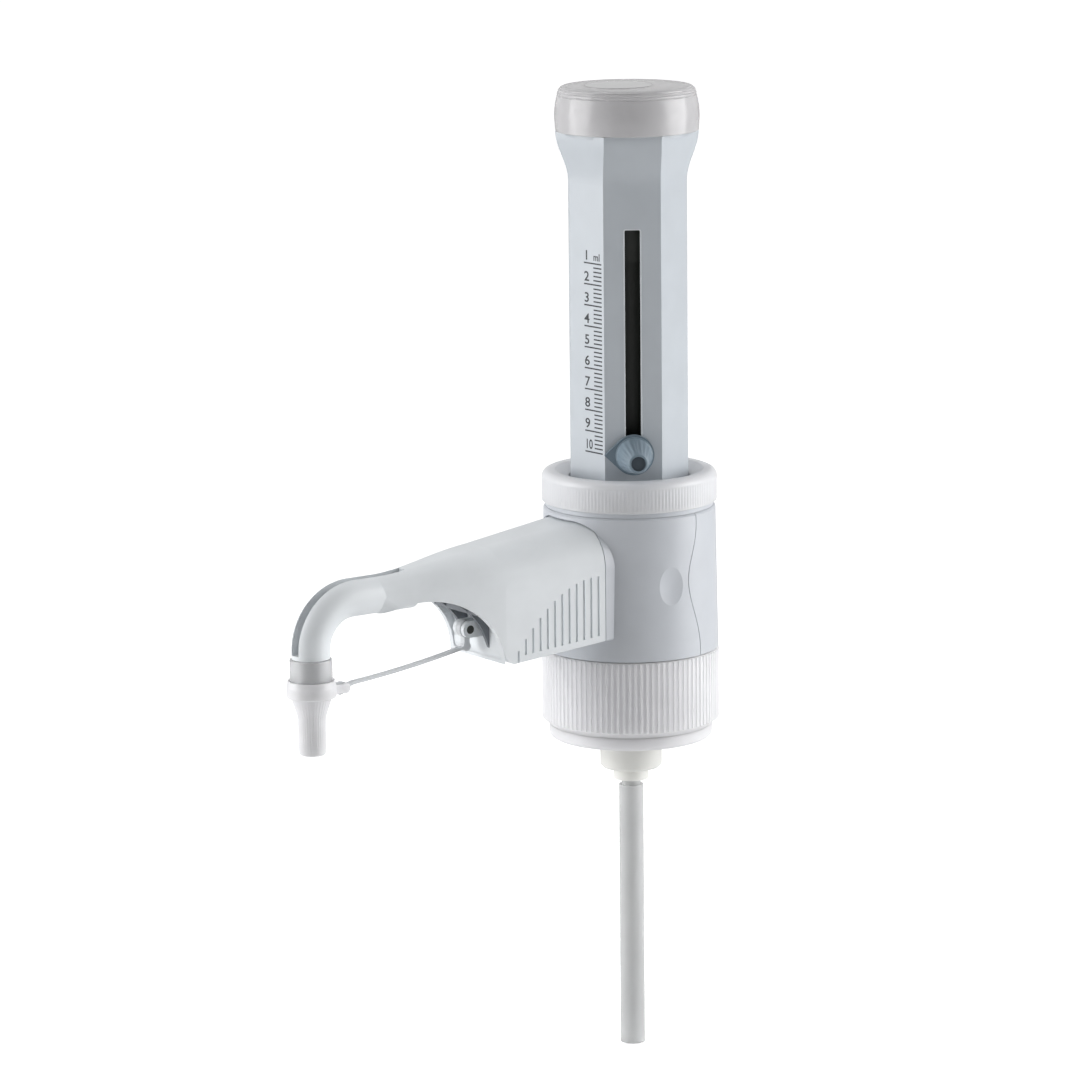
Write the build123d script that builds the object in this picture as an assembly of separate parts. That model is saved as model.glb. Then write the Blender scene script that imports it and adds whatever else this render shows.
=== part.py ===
"""Bottle-top dispenser for 1 to 10 ml, with a GL 45 skirt and an adapter for S 40 bottle necks.

Millimetres, +Z up. The origin is the centre of the face that the bottle's rim seals on.
The discharge spout points along -X, and the bottle hangs below the origin along -Z.
Each function below makes one physical piece and returns it in its working place.
"""

from build123d import *
from math import atan2, cos, degrees, pi, radians, sin, sqrt, tan
import os

# Volume and stroke
VOLUME_MAX = 10.0            # ml
VOLUME_MIN = 1.0             # ml
PISTON_R = 7.05

# Clearances shared by all fits
RUN_FIT = 0.06               # radial, close fits that slide or turn
SLIDE_GAP = 0.30             # radial, loose fits
FACE_GAP = 0.10              # axial, flat faces that turn on each other
SEAM_GAP = 0.25              # visible joint line between housing shells

# Bottle side
BOTTLE_BORE_R = 19.6
BOTTLE_BORE_DEPTH = 15.0
SEAT_OPENING_R = 15.5
SEAT_LIP = 3.0
ADAPTER_FLANGE_R = 25.1
ADAPTER_FLANGE_H = 4.1
ADAPTER_EDGE = 1.3
SKIRT_R = 27.3
SKIRT_H = 23.8
SKIRT_THREAD_R = 22.4
SKIRT_LIP_H = 4.2
SKIRT_CHAMFER = 1.9
RIB_COUNT = 96
RIB_DEPTH = 0.35
RIB_WIDTH = 0.9
SEAL_H = 1.2

# Valve block
BLOCK_FLANGE_R = 21.0
BLOCK_NECK_R = 18.6
BLOCK_BASE_R = 24.2
BLOCK_BASE_H = 3.0
BLOCK_BARREL_R = 17.5
BLOCK_TOP_R = 25.7
BLOCK_TOP_H = 1.4
BLOCK_COLLAR_R = 20.4
BLOCK_COLLAR_H = 3.2
CHAMBER_R = 4.5
CHAMBER_H = 5.5
CHANNEL_R = 1.2
CHANNEL_X = 13.3
PORT_R = 5.0
PORT_LENGTH = 2.4

# Body shells
BODY_H = 43.9
BODY_BOTTOM_R = 27.1
BODY_TOP_R = 26.35
SHELL_WALL = 2.0
SHELL_WEB = 1.5
COLLAR_REACH = 23.0
COLLAR_DEPTH = 6.2
SEAM_X = 4.0
SEAM_WAVE = 1.8
DISH_R = 30.0
DISH_DEPTH = 0.6
DISH_DIRECTION = 98.7
DISH_RISE = 23.2             # above the body's foot

# Lock ring
LOCK_RING_R = 26.8
LOCK_RING_H = 9.5
LOCK_RING_EDGE = 2.2
LOCK_RING_CREST_R = 22.2
LOCK_RING_LIP = 1.9
LOCK_BEAD = 0.6
LOCK_BEAD_H = 0.8

# Dosing cylinder
GLASS_WALL = 1.6
GLASS_LENGTH = 86.0
JACKET_WALL = 1.0
JACKET_FLANGE_H = 2.2
STOP_COLLAR_R = 11.8
STOP_COLLAR_H = 10.4
JACKET_END = 2.6
STOP_CLEARANCE = 0.05
PISTON_REST = 1.2
PISTON_HEAD_H = 12.0
PISTON_SEAL_H = 2.4
PISTON_SEAL_DEPTH = 1.6
PISTON_SEAL_RISE = 2.0
ROD_R = 4.0

# Handle
SLEEVE_R = 17.9
SLEEVE_WALL = 2.0
SLEEVE_H = 107.2
FACET_D = 15.65
FACET_HALF = 8.68
PANEL_ANGLE = 55.0
HANDLE_TURN = -32.0          # degrees about Z, turns the facet's normal from -Y
FLARE_H = 15.0
FLARE_R = 21.65
FLARE_FACET_D = 19.8
FLARE_STEPS = 6
SLOT_W = 5.0
SLOT_START = 5.2             # above the sleeve's lower end
SLOT_LENGTH = 73.8
SLOT_CORNER = 0.6
NECK_R = 19.5
NECK_WALL = 2.1
NECK_H = 3.4
CAP_FOOT_R = 21.65
CAP_R = 22.05
CAP_SHOULDER_R = 21.1
CAP_FLAT_R = 19.2
CAP_H = 13.5
CAP_WALL = 1.9
CAP_BOSS_R = 6.2
CAP_BOSS_H = 8.0
LABEL_R = 10.0
LABEL_H = 0.7
LABEL_RECESS = 0.5
LABEL_OFFSET = 2.5
LABEL_DIRECTION = 143.0

# Volume pointer, distances measured from the axis towards the facet
POINTER_START = 10.7         # above the sleeve's lower end
POINTER_R = 6.15
POINTER_TIP = 8.9
POINTER_PLATE = 1.5
POINTER_RISE = 0.15
SLIDER_HALF = 4.2
SLIDER_PLATE = 1.25
SLIDER_ABOVE = 4.0
SLIDER_BELOW = 9.6
LUG_H = 3.5
SLIDER_NECK_HALF = 2.2
SLIDER_NECK_H = 7.6
RAIL_W = 2.3
RAIL_T = 1.25
RAIL_NOTCH = 0.5
RAIL_BRIDGE = 2.6
SCREW_BASE_R = 5.65
SCREW_END_R = 2.9
SCREW_LENGTH = 15.0
SCREW_DIMPLE = 0.5
SCREW_STEM_R = 1.9

# Spout housing, distances measured from the axis along -X
SPOUT_WALL = 1.8
SPOUT_ROOT_HALF = 18.2
SPOUT_ROOT_DROP = 1.8        # below the body's top
SPOUT_ROOT_RISE = 6.9        # above the body's foot
SPOUT_ROOT_CORNER = 13.0
SPOUT_HEEL_X = 57.0
SPOUT_HEEL_RISE = 3.1        # above the body's foot
SPOUT_HEEL_DROP = 6.0        # below the body's top
SPOUT_HEEL_HALF = 14.3
SPOUT_HEEL_CORNER = 10.6
SPOUT_END_CORNER = 5.2
SPOUT_EDGE_R = 0.7
SPOUT_TONGUE = 5.0
SPOUT_TONGUE_WALL = 1.4
COVER_R = 5.76
COVER_BLEND_X = 95.0
COVER_START = 82.0
COVER_TUCK = 0.15
COVER_GAP = 0.3
INNER_SLEEVE_R = 4.6
TUBE_DROP = 15.9             # below the body's top
ARCH_X = 82.0
ARCH_DROP = 24.2             # below the tube's axis
ARCH_HALF = 24.5
ARCH_RISE = 21.3
HEEL_R = 4.0
SPOUT_REACH = 117.4
SPOUT_BEND_R = 14.2
SPOUT_END_DROP = 16.3        # below the tube's axis
TOP_SLOT_W = 3.6
TOP_SLOT_START = 84.6
TOP_SLOT_END = 1.2
RIB_T = 1.4
RIB_X = 68.6
RIB_SETBACK = 2.5
GRILLE_START = 25.4
GRILLE_COUNT = 12
GRILLE_PITCH = 2.5
GRILLE_WIDTH = 0.7
GRILLE_DEPTH = 0.6
GRILLE_DROP = 0.8            # below the tube's axis
GRILLE_FALL = 0.0262
GRILLE_RISE = 2.2

# Outlet
DISCHARGE_R = 2.85
DISCHARGE_BORE_R = 1.3
DISCHARGE_LENGTH = 23.9      # below the spout's end
FERRULE_R = 6.3
FERRULE_H = 8.4
FERRULE_EDGE = 0.5
NIPPLE_R = 4.3
NIPPLE_H = 5.2
OUTLET_BORE_R = 2.9
OUTLET_SEAT_RISE = 6.0
OUTLET_SEAT_H = 2.2
OUTLET_SEAT_R = 1.0
OUTLET_BALL_R = 1.5
OUTLET_CAGE_H = 11.6
OUTLET_CAGE_BORE_R = 2.1
OUTLET_CAGE_LID = 1.0
SPRING_WIRE_R = 0.22
SPRING_R = 1.45
SPRING_TURNS = 5

# Screw cap and its ring
CAP_RING_R = 7.42
CAP_RING_H = 3.2
CAP_RING_DROP = 11.7         # below the spout's end
CAP_RING_TOP_R = 7.05
CAP_RING_CUP = 1.9
CAP_RING_BORE_R = 6.4
CAP_RING_GROOVE = 1.0
CAP_HEAD_R = 6.12
CAP_HEAD_FLANGE = 0.6
CAP_FLANGE_H = 1.1
CAP_WAIST_R = 4.25
CAP_WAIST_DROP = 17.7        # below the spout's end
CAP_END_R = 4.1
CAP_END_DROP = 29.1          # below the spout's end
CAP_BORE_R = 3.3
CAP_FLOOR = 1.0
CAP_THREAD_PITCH = 2.0
CAP_THREAD_TURNS = 2.5
CAP_THREAD_GAP = 0.2

# Cap strap
STRAP_W = 2.0
STRAP_T = 0.9
STRAP_PIVOT_X = 62.0
STRAP_PIVOT_DROP = 14.8      # below the tube's axis
STRAP_PIN_R = 1.3
STRAP_HUB_R = 2.6
STRAP_WEB = 2.0
STRAP_FOOT_R = 1.4
STRAP_FOOT_DROP = 5.5        # below the pivot
STRAP_END_X = 102.8
STRAP_SAG = 0.6
EAR_R = 2.5
EAR_T = 1.5
NUB_X = 106.4
NUB_RISE = 1.4               # above the ring's foot
NUB_PIN_R = 0.7
NUB_EAR_R = 1.5
NUB_EAR_T = 0.9
NUB_GAP = 0.2
EYE_GAP = 0.15
EYE_WALL = 0.75

# Inlet
VALVE_R = 9.55
VALVE_BOTTOM = -25.2
VALVE_EDGE = 0.8
VALVE_STUB_R = 7.4
VALVE_STUB_H = 8.4
INLET_BORE_R = 4.6
INLET_BALL_R = 3.2
INLET_SEAT_R = 2.2
INLET_SEAT_H = 4.0
INLET_LIFT = 1.5
CAGE_H = 2.5
CAGE_R = 2.4
CAGE_SLOT_W = 1.6
SEAL_RING_R = 0.6
CONNECTOR_BOTTOM = -29.0
CONNECTOR_R = 5.4
CONNECTOR_TOP = -18.0
OLIVE_R = 2.25
OLIVE_BORE_R = 1.5
OLIVE_H = 9.0
FILL_TUBE_R = 3.8
FILL_TUBE_WALL = 0.8
FILL_TUBE_INNER_LENGTH = 76.0
FILL_TUBE_OUTER_TOP = -31.0
FILL_TUBE_OUTER_BOTTOM = -113.5

# Levels and radii worked out from the sizes above
STROKE = 1000.0 * VOLUME_MAX / (pi * PISTON_R ** 2)
ADAPTER_BOTTOM = -BOTTLE_BORE_DEPTH
SKIRT_BOTTOM = ADAPTER_BOTTOM + ADAPTER_FLANGE_H
SKIRT_TOP = SKIRT_BOTTOM + SKIRT_H
SKIRT_SHOULDER = SKIRT_TOP - SKIRT_LIP_H
SEAL_TOP = SEAT_LIP + SEAL_H
BLOCK_BOTTOM = SEAL_TOP + FACE_GAP
BODY_BOTTOM = SKIRT_TOP + SLIDE_GAP
BODY_TOP = BODY_BOTTOM + BODY_H
BLOCK_SHELF = BODY_TOP + FACE_GAP
LOCK_RING_BOTTOM = BLOCK_SHELF + BLOCK_TOP_H + FACE_GAP
LOCK_RING_TOP = LOCK_RING_BOTTOM + LOCK_RING_H
BLOCK_TOP = LOCK_RING_BOTTOM + BLOCK_COLLAR_H
LOCK_BEAD_Z = (LOCK_RING_BOTTOM + BLOCK_TOP) / 2
JACKET_FLANGE_TOP = BLOCK_TOP + JACKET_FLANGE_H
SLEEVE_BOTTOM = JACKET_FLANGE_TOP + SLIDE_GAP
SLEEVE_TOP = SLEEVE_BOTTOM + SLEEVE_H
CAP_TOP = SLEEVE_TOP + CAP_H
SLOT_LOW = SLEEVE_BOTTOM + SLOT_START
SLOT_TOP = SLOT_LOW + SLOT_LENGTH
POINTER_Z = SLEEVE_BOTTOM + POINTER_START
SPOUT_ROOT_TOP = BODY_TOP - SPOUT_ROOT_DROP
SPOUT_HEEL_TOP = BODY_TOP - SPOUT_HEEL_DROP
SPOUT_ROOT_BOTTOM = BODY_BOTTOM + SPOUT_ROOT_RISE
SPOUT_HEEL_BOTTOM = BODY_BOTTOM + SPOUT_HEEL_RISE
DISH_Z = BODY_BOTTOM + DISH_RISE
TUBE_Z = BODY_TOP - TUBE_DROP
ARCH_Z = TUBE_Z - ARCH_DROP
GRILLE_TOP = TUBE_Z - GRILLE_DROP
SPOUT_END_Z = TUBE_Z - SPOUT_END_DROP
DISCHARGE_END_Z = SPOUT_END_Z - DISCHARGE_LENGTH
CAP_RING_BOTTOM = SPOUT_END_Z - CAP_RING_DROP
CAP_WAIST_Z = SPOUT_END_Z - CAP_WAIST_DROP
CAP_END_Z = SPOUT_END_Z - CAP_END_DROP
STRAP_PIVOT_Z = TUBE_Z - STRAP_PIVOT_DROP
STRAP_FOOT_Z = STRAP_PIVOT_Z - STRAP_FOOT_DROP
NUB_Z = CAP_RING_BOTTOM + NUB_RISE
CHAMBER_BOTTOM = BLOCK_BOTTOM + VALVE_STUB_H
CHANNEL_Z = CHAMBER_BOTTOM + CHAMBER_H / 2
GLASS_R = PISTON_R + RUN_FIT + GLASS_WALL
GLASS_BOTTOM = CHAMBER_BOTTOM + CHAMBER_H
JACKET_BORE_R = GLASS_R + SLIDE_GAP
JACKET_R = JACKET_BORE_R + JACKET_WALL
PISTON_BOTTOM = GLASS_BOTTOM + PISTON_REST
PISTON_TOP = PISTON_BOTTOM + PISTON_HEAD_H
SLIDER_FRONT = FACET_D - SLEEVE_WALL - SLIDE_GAP
SLIDER_BACK = SLIDER_FRONT - SLIDER_PLATE
SLIDER_TOP = POINTER_Z + SLIDER_ABOVE
SLIDER_BOTTOM = POINTER_Z - SLIDER_BELOW
LUG_TOP = SLIDER_BOTTOM + LUG_H
STOP_Z = LUG_TOP + STROKE + STOP_CLEARANCE
PLATE_BACK = FACET_D + POINTER_RISE
PLATE_FRONT = PLATE_BACK + POINTER_PLATE
SCREW_BACK = PLATE_FRONT + FACE_GAP
ARCH_WALL_X = ARCH_X - ARCH_HALF
EAR_REACH = STRAP_W / 2 + SLIDE_GAP + EAR_T
BEND_X = SPOUT_REACH - SPOUT_BEND_R
BEND_Z = TUBE_Z - SPOUT_BEND_R
OUTLET_SEAT_Z = CHANNEL_Z + OUTLET_SEAT_RISE
OUTLET_SEAT_TOP = OUTLET_SEAT_Z + OUTLET_SEAT_H
OUTLET_BALL_Z = OUTLET_SEAT_TOP + sqrt(OUTLET_BALL_R ** 2 - OUTLET_SEAT_R ** 2)
OUTLET_CAGE_TOP = OUTLET_SEAT_TOP + OUTLET_CAGE_H
INLET_SEAT_TOP = CONNECTOR_TOP + INLET_SEAT_H
INLET_BALL_Z = INLET_SEAT_TOP + sqrt(INLET_BALL_R ** 2 - INLET_SEAT_R ** 2)
CAGE_BOTTOM = INLET_BALL_Z + INLET_BALL_R + INLET_LIFT + FACE_GAP
FERRULE_BOTTOM = SPOUT_END_Z - FERRULE_H
CAP_RING_SHOULDER = CAP_RING_BOTTOM + CAP_RING_H
CAP_DROP = CAP_THREAD_PITCH * CAP_THREAD_TURNS
NUB_DX = NUB_X - STRAP_PIVOT_X
NUB_DZ = STRAP_PIVOT_Z - NUB_Z
STRAP_TILT = degrees(atan2(NUB_DZ, NUB_DX))
EYE_TRAVEL = sqrt(NUB_DX ** 2 + (NUB_DZ + CAP_DROP) ** 2) - sqrt(NUB_DX ** 2 + NUB_DZ ** 2)


# Shared forms


def turned(*points):
    """Solid of revolution about Z from a closed outline of (radius, height) points."""
    outline = make_face(Polyline(*points, close=True))
    return revolve(Plane.XZ * outline, Axis.Z)


def rod(radius, bottom, top, at=(0.0, 0.0)):
    """Straight round bar between two heights."""
    return Pos(at[0], at[1], (bottom + top) / 2) * Cylinder(radius, top - bottom)


def tube(outer, inner, bottom, top):
    """Straight round tube about Z between two heights."""
    return rod(outer, bottom, top) - rod(inner, bottom, top)


def bar_x(radius, start, end, height):
    """Round bar along X between two distances in front of the axis."""
    return Pos(-(start + end) / 2, 0, height) * Rot(0, 90, 0) * Cylinder(radius, abs(end - start))


def bar_y(radius, start, end, distance, height):
    """Round bar along Y at one distance in front of the axis."""
    return Pos(-distance, (start + end) / 2, height) * Rot(90, 0, 0) * Cylinder(radius, abs(end - start))


def side_box(start, end, low, high):
    """Box across the spout between two distances and two heights."""
    size = (end - start, 4 * SPOUT_ROOT_HALF, high - low)
    return Pos(-(start + end) / 2, 0, (low + high) / 2) * Box(*size)


def facet_box(half_width, near, far, low, high):
    """Box in front of the axis, before the handle is turned to its heading."""
    size = (2 * half_width, far - near, high - low)
    return Pos(0, -(near + far) / 2, (low + high) / 2) * Box(*size)


def facet_rod(radius, near, far):
    """Round bar along the facet's normal at the pointer, before the handle is turned."""
    return Pos(0, -(near + far) / 2, POINTER_Z) * Rot(90, 0, 0) * Cylinder(radius, far - near)


def facet_plane(distance, height):
    """Drawing plane parallel to the facet, before the handle is turned."""
    return Plane(origin=(0, -distance, height), x_dir=(1, 0, 0), z_dir=(0, -1, 0))


def rim(solid, radius, height):
    """Circular edges of a solid at one radius and height."""
    return [
        edge
        for edge in solid.edges().filter_by(GeomType.CIRCLE)
        if abs(edge.radius - radius) < 0.01 and abs(edge.center().Z - height) < 0.01
    ]


def at_handle(solid):
    """Turn a piece made with its facet facing -Y to the handle's real heading."""
    return Rot(0, 0, HANDLE_TURN) * solid


def at_tip(solid):
    """Move a piece made on the Z axis to the axis of the spout's tip."""
    return Pos(-SPOUT_REACH, 0, 0) * solid


def around(tool, count):
    """Copies of a tool spaced evenly about Z."""
    return [Rot(0, 0, 360.0 * index / count) * tool for index in range(count)]


def along_tube(face, start, end_z):
    """Carry a flat section, with y pointing outwards, along the spout's bent centreline."""
    across = (0, -1, 0)
    first = Plane(origin=(-start, 0, TUBE_Z), x_dir=across, z_dir=(-1, 0, 0))
    corner = Plane(origin=(-BEND_X, 0, TUBE_Z), x_dir=across, z_dir=(-1, 0, 0))
    last = Plane(origin=(-SPOUT_REACH, 0, BEND_Z), x_dir=across, z_dir=(0, 0, -1))
    straight = extrude(first * face, BEND_X - start)
    bend = revolve(corner * face, Axis((-BEND_X, 0, BEND_Z), (0, -1, 0)), 90.0)
    drop = extrude(last * face, BEND_Z - end_z)
    return straight + bend + drop


# Bottle side


def bottle_adapter():
    """Ring that screws into the skirt and takes the bottle's neck."""
    barrel_r = SKIRT_THREAD_R - SLIDE_GAP
    body = turned(
        (BOTTLE_BORE_R, ADAPTER_BOTTOM),
        (ADAPTER_FLANGE_R, ADAPTER_BOTTOM),
        (ADAPTER_FLANGE_R, SKIRT_BOTTOM),
        (barrel_r, SKIRT_BOTTOM),
        (barrel_r, SEAT_LIP),
        (SEAT_OPENING_R, SEAT_LIP),
        (SEAT_OPENING_R, 0.0),
        (BOTTLE_BORE_R, 0.0),
    )
    return fillet(rim(body, ADAPTER_FLANGE_R, ADAPTER_BOTTOM), ADAPTER_EDGE)


def adapter_seal():
    """Flat washer between the adapter and the valve block."""
    return tube(BLOCK_FLANGE_R, SEAT_OPENING_R + SLIDE_GAP, SEAT_LIP, SEAL_TOP)


def threaded_skirt():
    """Ribbed union nut that draws the valve block down on the bottle."""
    root_r = SKIRT_R - RIB_DEPTH
    neck_r = BLOCK_NECK_R + SLIDE_GAP
    body = turned(
        (SKIRT_THREAD_R, SKIRT_BOTTOM),
        (root_r - SKIRT_CHAMFER, SKIRT_BOTTOM),
        (root_r, SKIRT_BOTTOM + SKIRT_CHAMFER),
        (root_r, SKIRT_TOP),
        (neck_r, SKIRT_TOP),
        (neck_r, SKIRT_SHOULDER),
        (SKIRT_THREAD_R, SKIRT_SHOULDER),
    )
    rib_bottom = SKIRT_BOTTOM + SKIRT_CHAMFER
    rib_outline = Polyline(
        (root_r - RIB_DEPTH, -RIB_WIDTH / 2),
        (root_r, -RIB_WIDTH / 2),
        (SKIRT_R, -RIB_WIDTH / 4),
        (SKIRT_R, RIB_WIDTH / 4),
        (root_r, RIB_WIDTH / 2),
        (root_r - RIB_DEPTH, RIB_WIDTH / 2),
        close=True,
    )
    rib = Pos(0, 0, rib_bottom) * extrude(make_face(rib_outline), SKIRT_TOP - rib_bottom - RIB_DEPTH)
    return body + around(rib, RIB_COUNT)


# Valve block and dosing cylinder


def valve_block():
    """Core of the housing: flange under the skirt's lip, barrel, channels and collar."""
    flange_top = SKIRT_SHOULDER - FACE_GAP
    base_top = BODY_BOTTOM + BLOCK_BASE_H
    glass_bore = GLASS_R + RUN_FIT
    stub_bore = VALVE_STUB_R + RUN_FIT
    top = BLOCK_SHELF + BLOCK_TOP_H
    body = turned(
        (stub_bore, BLOCK_BOTTOM),
        (BLOCK_FLANGE_R, BLOCK_BOTTOM),
        (BLOCK_FLANGE_R, flange_top),
        (BLOCK_NECK_R, flange_top),
        (BLOCK_NECK_R, BODY_BOTTOM),
        (BLOCK_BASE_R, BODY_BOTTOM),
        (BLOCK_BASE_R, base_top),
        (BLOCK_BARREL_R, base_top),
        (BLOCK_BARREL_R, BLOCK_SHELF),
        (BLOCK_TOP_R, BLOCK_SHELF),
        (BLOCK_TOP_R, top),
        (BLOCK_COLLAR_R, top),
        (BLOCK_COLLAR_R, LOCK_BEAD_Z - LOCK_BEAD_H),
        (BLOCK_COLLAR_R - LOCK_BEAD, LOCK_BEAD_Z - LOCK_BEAD_H / 2),
        (BLOCK_COLLAR_R - LOCK_BEAD, LOCK_BEAD_Z + LOCK_BEAD_H / 2),
        (BLOCK_COLLAR_R, LOCK_BEAD_Z + LOCK_BEAD_H),
        (BLOCK_COLLAR_R, BLOCK_TOP),
        (glass_bore, BLOCK_TOP),
        (glass_bore, GLASS_BOTTOM),
        (CHAMBER_R, GLASS_BOTTOM),
        (CHAMBER_R, CHAMBER_BOTTOM + FACE_GAP),
        (stub_bore, CHAMBER_BOTTOM + FACE_GAP),
    )
    port_end = BLOCK_BARREL_R + PORT_LENGTH
    body += bar_x(PORT_R, BLOCK_BARREL_R - 1.0, port_end, TUBE_Z)
    body -= bar_x(CHANNEL_R, CHAMBER_R - 1.0, CHANNEL_X, CHANNEL_Z)
    body -= rod(CHANNEL_R, CHANNEL_Z, OUTLET_SEAT_Z, (-CHANNEL_X, 0))
    body -= rod(OUTLET_BORE_R, OUTLET_SEAT_Z, TUBE_Z + DISCHARGE_BORE_R, (-CHANNEL_X, 0))
    body -= bar_x(DISCHARGE_BORE_R, CHANNEL_X, port_end, TUBE_Z)
    body -= bar_x(DISCHARGE_R + RUN_FIT, BLOCK_BARREL_R, port_end, TUBE_Z)
    return body


def glass_cylinder():
    """Precision glass tube that the piston runs in."""
    return tube(GLASS_R, PISTON_R + RUN_FIT, GLASS_BOTTOM, GLASS_BOTTOM + GLASS_LENGTH)


def cylinder_jacket():
    """Jacket round the glass, with the clamped flange and the collar that stops the lug."""
    collar_top = STOP_Z + STOP_COLLAR_H
    return turned(
        (JACKET_BORE_R, BLOCK_TOP),
        (BLOCK_COLLAR_R, BLOCK_TOP),
        (BLOCK_COLLAR_R, JACKET_FLANGE_TOP),
        (JACKET_R, JACKET_FLANGE_TOP),
        (JACKET_R, STOP_Z),
        (STOP_COLLAR_R, STOP_Z),
        (STOP_COLLAR_R, collar_top),
        (JACKET_R, collar_top),
        (JACKET_R, collar_top + JACKET_END),
        (JACKET_BORE_R, collar_top + JACKET_END),
    )


def lock_ring():
    """Turning ring that clips on the block's collar and covers the jacket's flange."""
    bore_r = BLOCK_COLLAR_R + SLIDE_GAP
    opening_r = SLEEVE_R + 2 * SLIDE_GAP
    lip_bottom = JACKET_FLANGE_TOP + FACE_GAP
    bead_r = bore_r - LOCK_BEAD
    body = turned(
        (bore_r, LOCK_RING_BOTTOM),
        (LOCK_RING_R, LOCK_RING_BOTTOM),
        (LOCK_RING_R, LOCK_RING_TOP),
        (LOCK_RING_CREST_R, LOCK_RING_TOP),
        (opening_r, lip_bottom + LOCK_RING_LIP),
        (opening_r, lip_bottom),
        (bore_r, lip_bottom),
        (bore_r, LOCK_BEAD_Z + LOCK_BEAD_H * 0.75),
        (bead_r, LOCK_BEAD_Z + LOCK_BEAD_H / 4),
        (bead_r, LOCK_BEAD_Z - LOCK_BEAD_H / 4),
        (bore_r, LOCK_BEAD_Z - LOCK_BEAD_H * 0.75),
    )
    body = fillet(rim(body, LOCK_RING_R, LOCK_RING_TOP), LOCK_RING_EDGE)
    return fillet(rim(body, LOCK_RING_CREST_R, LOCK_RING_TOP), LOCK_RING_EDGE / 2)


# Body shells and spout


def body_blank():
    """Closed ring with two inner webs, from which both body shells are cut."""
    bottom_in = BODY_BOTTOM_R - SHELL_WALL
    top_in = BODY_TOP_R - SHELL_WALL
    web_r = BLOCK_BARREL_R + RUN_FIT
    low_web = BODY_BOTTOM + BLOCK_BASE_H + FACE_GAP
    high_web = BODY_TOP - SHELL_WEB - FACE_GAP
    return turned(
        (bottom_in, BODY_BOTTOM),
        (BODY_BOTTOM_R, BODY_BOTTOM),
        (BODY_TOP_R, BODY_TOP - 0.6),
        (BODY_TOP_R - 0.5, BODY_TOP),
        (top_in, BODY_TOP),
        (top_in, high_web + SHELL_WEB),
        (web_r, high_web + SHELL_WEB),
        (web_r, high_web),
        (top_in, high_web),
        (bottom_in, low_web + SHELL_WEB),
        (web_r, low_web + SHELL_WEB),
        (web_r, low_web),
        (bottom_in, low_web),
    )


def seam_half(offset):
    """Everything in front of the wavy joint between the shells, moved back by an offset."""
    middle = SEAM_X + offset
    low = BODY_BOTTOM - 5.0
    high = BODY_TOP + 5.0
    far = -2.0 * BODY_BOTTOM_R
    start = (middle + SEAM_WAVE, low)
    end = (middle, high)
    edge = Spline(
        start,
        (middle + SEAM_WAVE, BODY_BOTTOM + 0.22 * BODY_H),
        (middle - SEAM_WAVE, BODY_BOTTOM + 0.56 * BODY_H),
        (middle + 0.6 * SEAM_WAVE, BODY_BOTTOM + 0.81 * BODY_H),
        end,
    )
    sides = Polyline(end, (far, high), (far, low), start)
    face = Plane.XZ * make_face([edge, *sides.edges()])
    return extrude(face, 2.0 * BODY_BOTTOM_R, both=True)


def spout_section(distance, half, bottom, top, top_r, low_r=SPOUT_EDGE_R):
    """Section of the spout at one distance: straight sides, round shoulders and lower edges."""
    corner = 1.0 - sqrt(0.5)
    left = half - low_r
    low_in = corner * low_r
    crown = half - top_r
    pieces = [
        Line((-left, bottom), (left, bottom)),
        ThreePointArc((left, bottom), (half - low_in, bottom + low_in), (half, bottom + low_r)),
        Line((half, bottom + low_r), (half, top - top_r)),
        ThreePointArc((half, top - top_r), (half - corner * top_r, top - corner * top_r), (crown, top)),
        Line((crown, top), (-crown, top)),
        ThreePointArc((-crown, top), (-half + corner * top_r, top - corner * top_r), (-half, top - top_r)),
        Line((-half, top - top_r), (-half, bottom + low_r)),
        ThreePointArc((-half, bottom + low_r), (-half + low_in, bottom + low_in), (-left, bottom)),
    ]
    plane = Plane(origin=(-distance, 0, 0), x_dir=(0, 1, 0), z_dir=(1, 0, 0))
    return plane * make_face(pieces)


def spout_root(distance, inset):
    """Section of the spout's root, drawn at a given distance and moved inwards."""
    return spout_section(
        distance,
        SPOUT_ROOT_HALF - inset,
        SPOUT_ROOT_BOTTOM + inset,
        SPOUT_ROOT_TOP - inset,
        SPOUT_ROOT_CORNER - inset,
    )


def spout_form(inset):
    """Wide part of the spout from its root to the tube, moved inwards by an inset."""
    end_r = COVER_R - COVER_TUCK
    span = COVER_BLEND_X - SPOUT_HEEL_X
    sections = []
    shares = (
        (0.0, 0.0, 0.0, 0.0),
        (0.4, 0.38, 0.2, 0.43),
        (0.72, 0.74, 0.66, 0.85),
        (1.0, 1.0, 1.0, 1.0),
    )
    for along, narrowing, rising, falling in shares:
        sections.append(
            spout_section(
                SPOUT_HEEL_X + along * span,
                SPOUT_HEEL_HALF - narrowing * (SPOUT_HEEL_HALF - end_r) - inset,
                SPOUT_HEEL_BOTTOM + rising * (TUBE_Z - end_r - SPOUT_HEEL_BOTTOM) + inset,
                SPOUT_HEEL_TOP - falling * (SPOUT_HEEL_TOP - TUBE_Z - end_r) - inset,
                SPOUT_HEEL_CORNER - narrowing * (SPOUT_HEEL_CORNER - SPOUT_END_CORNER) - inset,
                SPOUT_EDGE_R + rising * (SPOUT_END_CORNER - inset - SPOUT_EDGE_R),
            )
        )
    root_part = loft([spout_root(COLLAR_REACH, inset), sections[0]], ruled=True)
    return root_part + loft(sections)


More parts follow.
